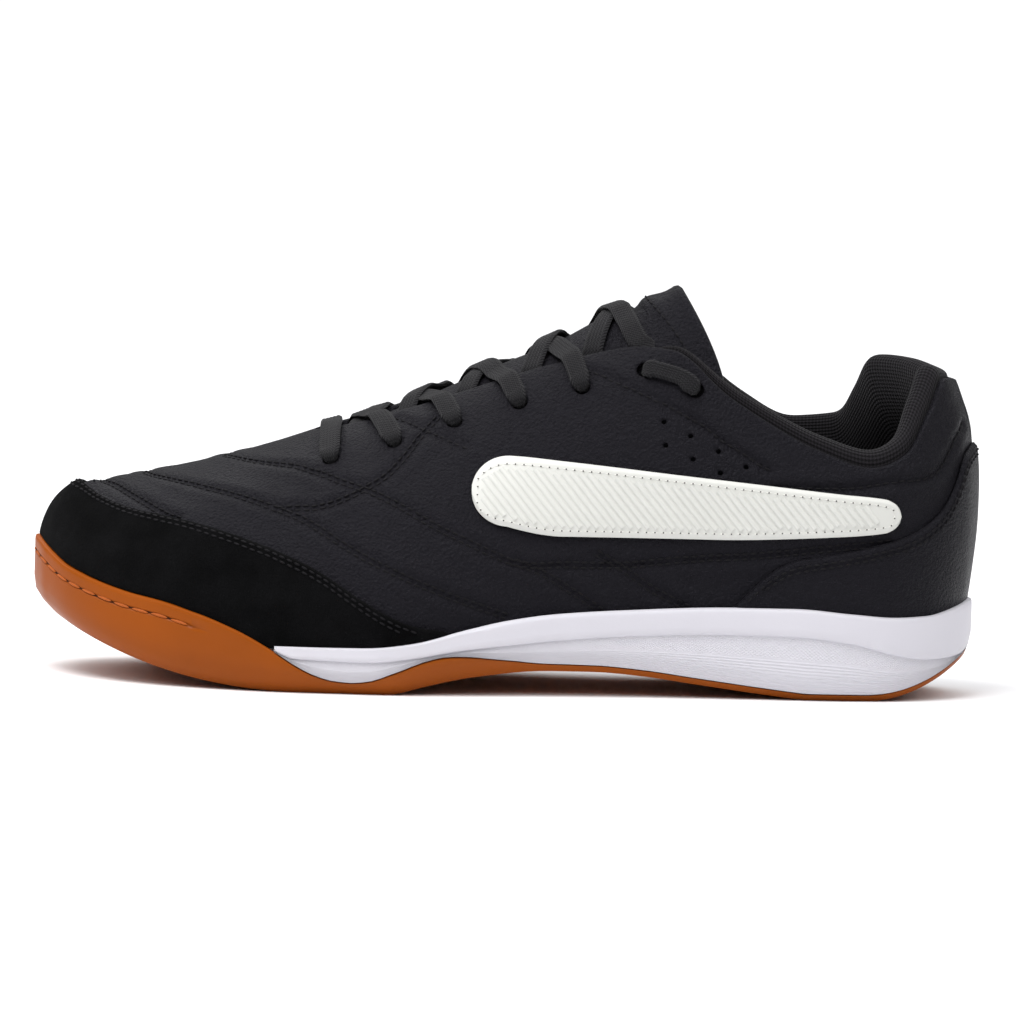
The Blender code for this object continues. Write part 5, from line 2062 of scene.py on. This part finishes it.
# Camera: direction and roll read from the photograph's floor line, the collar's far edge and
# the sole's ends; the frame's width from the shoe's length in it
CAMERA_ELEVATION = math.radians(5.5)
CAMERA_ROLL = math.radians(1.55)
CAMERA_DISTANCE = 8.0
FRAME_WIDTH = 0.3128
AIM = Vector((0.0015, -0.052, 0.0577))
SENSOR = 36.0
CLIP_START = 0.05

# Lights: place, target and size, in metres
CEILING_LIGHT = ((0, 3.0, 10.0), (0, 3.0, 0), (36.0, 36.0))
KEY_LIGHT = ((-0.45, -0.45, 1.4), (0, 0, 0.05), (1.1, 0.7))
FLOOR_HALF = 15.0


def add_camera():
    forward = Vector((0, math.cos(CAMERA_ELEVATION), -math.sin(CAMERA_ELEVATION)))
    data = bpy.data.cameras.new("photo_camera")
    data.sensor_width = SENSOR
    data.lens = SENSOR * CAMERA_DISTANCE / FRAME_WIDTH
    data.clip_start = CLIP_START
    made = bpy.data.objects.new("photo_camera", data)
    bpy.context.scene.collection.objects.link(made)
    made.rotation_mode = "QUATERNION"
    turn = forward.to_track_quat("-Z", "Y")
    made.rotation_quaternion = Quaternion(forward, -CAMERA_ROLL) @ turn
    made.location = AIM - forward * CAMERA_DISTANCE
    bpy.context.scene.camera = made


def add_softbox(name, place, target, size, power):
    data = bpy.data.lights.new(name, "AREA")
    data.shape = "RECTANGLE"
    data.size, data.size_y = size
    data.energy = power
    made = bpy.data.objects.new(name, data)
    bpy.context.scene.collection.objects.link(made)
    made.location = place
    made.rotation_euler = (Vector(target) - Vector(place)).to_track_quat("-Z", "Y").to_euler()


def add_floor(finish):
    mesh = bpy.data.meshes.new("studio_floor")
    corners = [(x * FLOOR_HALF, y * FLOOR_HALF, 0) for x, y in ((-1, -1), (1, -1), (1, 1), (-1, 1))]
    mesh.from_pydata(corners, [], [(0, 1, 2, 3)])
    mesh.materials.append(finish)
    made = bpy.data.objects.new("studio_floor", mesh)
    bpy.context.scene.collection.objects.link(made)


def add_world(strength):
    world = bpy.data.worlds.new("studio")
    world.use_nodes = True
    sky = world.node_tree.nodes["Background"]
    sky.inputs["Color"].default_value = linear("#fbfbfd")
    sky.inputs["Strength"].default_value = strength
    bpy.context.scene.world = world


# Settings


def colour_setting(name, text, about):
    return bpy.props.FloatVectorProperty(name=name, description=about, subtype="COLOR", size=3,
                                         min=0.0, max=1.0, default=linear(text)[:3])


class ShoeColours(bpy.types.PropertyGroup):
    leather: colour_setting("Leather", "#0c0b0e", "Colour of the leather")
    suede: colour_setting("Suede", "#0a0a0b", "Colour of the toe guard's suede")
    gum: colour_setting("Gum rubber", "#8c440a", "Colour of the outsole")
    foam: colour_setting("Foam", "#c9c7ce", "Colour of the midsole")
    panel: colour_setting("Side panel", "#cbcbc6", "Colour of the ribbed side panels")
    mesh: colour_setting("Mesh", "#131114", "Colour of the collar's mesh")
    lace: colour_setting("Lace", "#0f0e11", "Colour of the laces")
    thread: colour_setting("Thread", "#0b0a0c", "Colour of the thread on leather and suede")
    liner: colour_setting("Liner", "#242327", "Colour of the insole's cloth")


def length_setting(name, value, about):
    return bpy.props.FloatProperty(name=name, description=about, default=value, unit="LENGTH")


class ShoeSizes(bpy.types.PropertyGroup):
    stitch_pitch: length_setting("Stitch pitch", 0.0026, "Distance from stitch to stitch")
    stitch_length: length_setting("Stitch length", 0.0021, "Length of one stitch")
    thread_width: length_setting("Thread width", 0.00068, "Width of the sewing thread")
    seam_depth: length_setting("Seam depth", 0.0007, "How far the seams pull the leather in")


class StudioSettings(bpy.types.PropertyGroup):
    ceiling_power: bpy.props.FloatProperty(name="Ceiling light", default=4800.0,
                                           description="Power of the lit ceiling, in watts")
    key_power: bpy.props.FloatProperty(name="Key light", default=22.0,
                                       description="Power of the softbox above, in watts")
    sky_strength: bpy.props.FloatProperty(name="Surrounding light", default=0.2,
                                          description="Strength of the light from all around")


def shade_of(colour, factor):
    """Opaque colour and the same one darker or lighter."""
    return [min(1.0, channel * factor) for channel in colour] + [1.0]


# Finishes and seams that the operators share once they are made
kept = {}

# How each finish is made: its function, the material's name, then either two factors for the
# user's colour of the same name or two fixed colours
FINISHES = {
    "leather": (full_grain_leather, "full_grain_leather_embossed", 0.8, 1.35),
    "suede": (napped_suede, "napped_suede", 0.5, 1.8),
    "gum": (gum_rubber, "gum_rubber_moulded", 0.85, 1.12),
    "foam": (moulded_foam, "eva_foam_moulded", 1.0, 0.95),
    "panel": (coated_synthetic, "synthetic_leather_pressed", 1.0, 0.93),
    # Mesh: its dark and light factors make the painted shade of the cells and the painted light on
    # the yarn
    "mesh": (spacer_mesh, "spacer_mesh_knitted", 0.35, 1.8),
    # Lace: its dark and light factors make the painted shade between the yarns and the painted
    # light on them
    "lace": (woven_lace, "polyester_lace_woven", 0.45, 1.7),
    "thread": (twisted_thread, "polyester_thread_twisted", 1.0, 2.5),
    "liner": (brushed_lining, "brushed_polyester_liner", 1.0, 1.6),
    "gum_thread": (twisted_thread, "polyester_thread_gum", "#b8622c", "#8a4216"),
    "panel_thread": (twisted_thread, "polyester_thread_light", "#e2e1dc", "#c8c7c2"),
    "needle_hole": (twisted_thread, "needle_hole_shadow", "#3c3b39", "#2a2928"),
    "groove": (twisted_thread, "gum_rubber_groove_shadow", "#3a1706", "#2a1004"),
    "floor": (painted_floor, "painted_studio_floor", "#f4f4f5", "#f1f1f2"),
}


def finish_named(name):
    """The finish of one of the shoe's materials, made once."""
    if name not in kept:
        make, title, *tones = FINISHES[name]
        if isinstance(tones[0], str):
            colours = [linear(tone) for tone in tones]
        else:
            colour = getattr(bpy.context.scene.shoe_colours, name)
            colours = [shade_of(colour, tone) for tone in tones]
        kept[name] = make(title, *colours)
    return kept[name]


# Operators


class SHOE_OT_sole(bpy.types.Operator):
    """Make the outsole, the midsole and the insole"""
    bl_idname = "shoe.sole"
    bl_label = "Sole"

    def execute(self, context):
        dress_outsole(finish_named("gum"))
        dress_midsole(finish_named("foam"))
        dress_insole(finish_named("liner"))
        return {"FINISHED"}


class SHOE_OT_upper(bpy.types.Operator):
    """Make the leather upper with its overlays"""
    bl_idname = "shoe.upper"
    bl_label = "Upper and overlays"

    def execute(self, context):
        sizes = context.scene.shoe_sizes
        seams, bare = dress_upper(finish_named("leather"), sizes.seam_depth)
        kept["seams"] = seams
        dress_toe_guard(finish_named("suede"))
        dress_heel_counter(finish_named("leather"))
        for side, name in SIDE_NAMES.items():
            dress_panel(side, "side_panel_" + name, finish_named("panel"), bare)
        return {"FINISHED"}


class SHOE_OT_padding(bpy.types.Operator):
    """Make the padded tongue and collar"""
    bl_idname = "shoe.padding"
    bl_label = "Tongue and collar"

    def execute(self, context):
        dress_tongue(finish_named("leather"))
        dress_collar(finish_named("mesh"))
        return {"FINISHED"}


class SHOE_OT_laces(bpy.types.Operator):
    """Make the flat laces"""
    bl_idname = "shoe.laces"
    bl_label = "Laces"

    def execute(self, context):
        dress_laces(finish_named("lace"))
        return {"FINISHED"}


class SHOE_OT_stitches(bpy.types.Operator):
    """Make the stitches, the dots of painted shadow at the needle holes, and the panels' ribs"""
    bl_idname = "shoe.stitches"
    bl_label = "Stitches and ribs"

    def execute(self, context):
        sizes = context.scene.shoe_sizes
        values = {"Pitch": sizes.stitch_pitch, "Length": sizes.stitch_length,
                  "Width": sizes.thread_width, "Height": 0.8 * sizes.thread_width}
        dress_stitches(values, kept["seams"])
        return {"FINISHED"}


class SHOE_OT_studio(bpy.types.Operator):
    """Make the floor, the lights and the camera"""
    bl_idname = "shoe.studio"
    bl_label = "Studio"

    def execute(self, context):
        studio = context.scene.shoe_studio
        add_floor(finish_named("floor"))
        add_softbox("ceiling_light", *CEILING_LIGHT, studio.ceiling_power)
        add_softbox("key_light", *KEY_LIGHT, studio.key_power)
        add_world(studio.sky_strength)
        context.scene.view_settings.view_transform = "Standard"
        add_camera()
        return {"FINISHED"}


class SHOE_PT_panel(bpy.types.Panel):
    """Buttons and settings of the shoe"""
    bl_idname = "SHOE_PT_panel"
    bl_label = "Indoor soccer shoe"
    bl_space_type = "VIEW_3D"
    bl_region_type = "UI"
    bl_category = "Shoe"

    def draw(self, context):
        for group in (context.scene.shoe_sizes, context.scene.shoe_colours,
                      context.scene.shoe_studio):
            for name in group.__annotations__:
                self.layout.prop(group, name)
        for operator in OPERATORS:
            self.layout.operator(operator.bl_idname)


OPERATORS = (SHOE_OT_studio, SHOE_OT_sole, SHOE_OT_upper, SHOE_OT_padding, SHOE_OT_laces,
             SHOE_OT_stitches)
CLASSES = (ShoeColours, ShoeSizes, StudioSettings) + OPERATORS + (SHOE_PT_panel,)


def register():
    for each in CLASSES:
        bpy.utils.register_class(each)
    bpy.types.Scene.shoe_colours = bpy.props.PointerProperty(type=ShoeColours)
    bpy.types.Scene.shoe_sizes = bpy.props.PointerProperty(type=ShoeSizes)
    bpy.types.Scene.shoe_studio = bpy.props.PointerProperty(type=StudioSettings)


def unregister():
    del bpy.types.Scene.shoe_studio
    del bpy.types.Scene.shoe_sizes
    del bpy.types.Scene.shoe_colours
    for each in reversed(CLASSES):
        bpy.utils.unregister_class(each)


def main():
    register()
    bpy.ops.shoe.studio()
    bpy.ops.shoe.sole()
    bpy.ops.shoe.upper()
    bpy.ops.shoe.padding()
    bpy.ops.shoe.laces()
    bpy.ops.shoe.stitches()


if __name__ == "__main__":
    main()
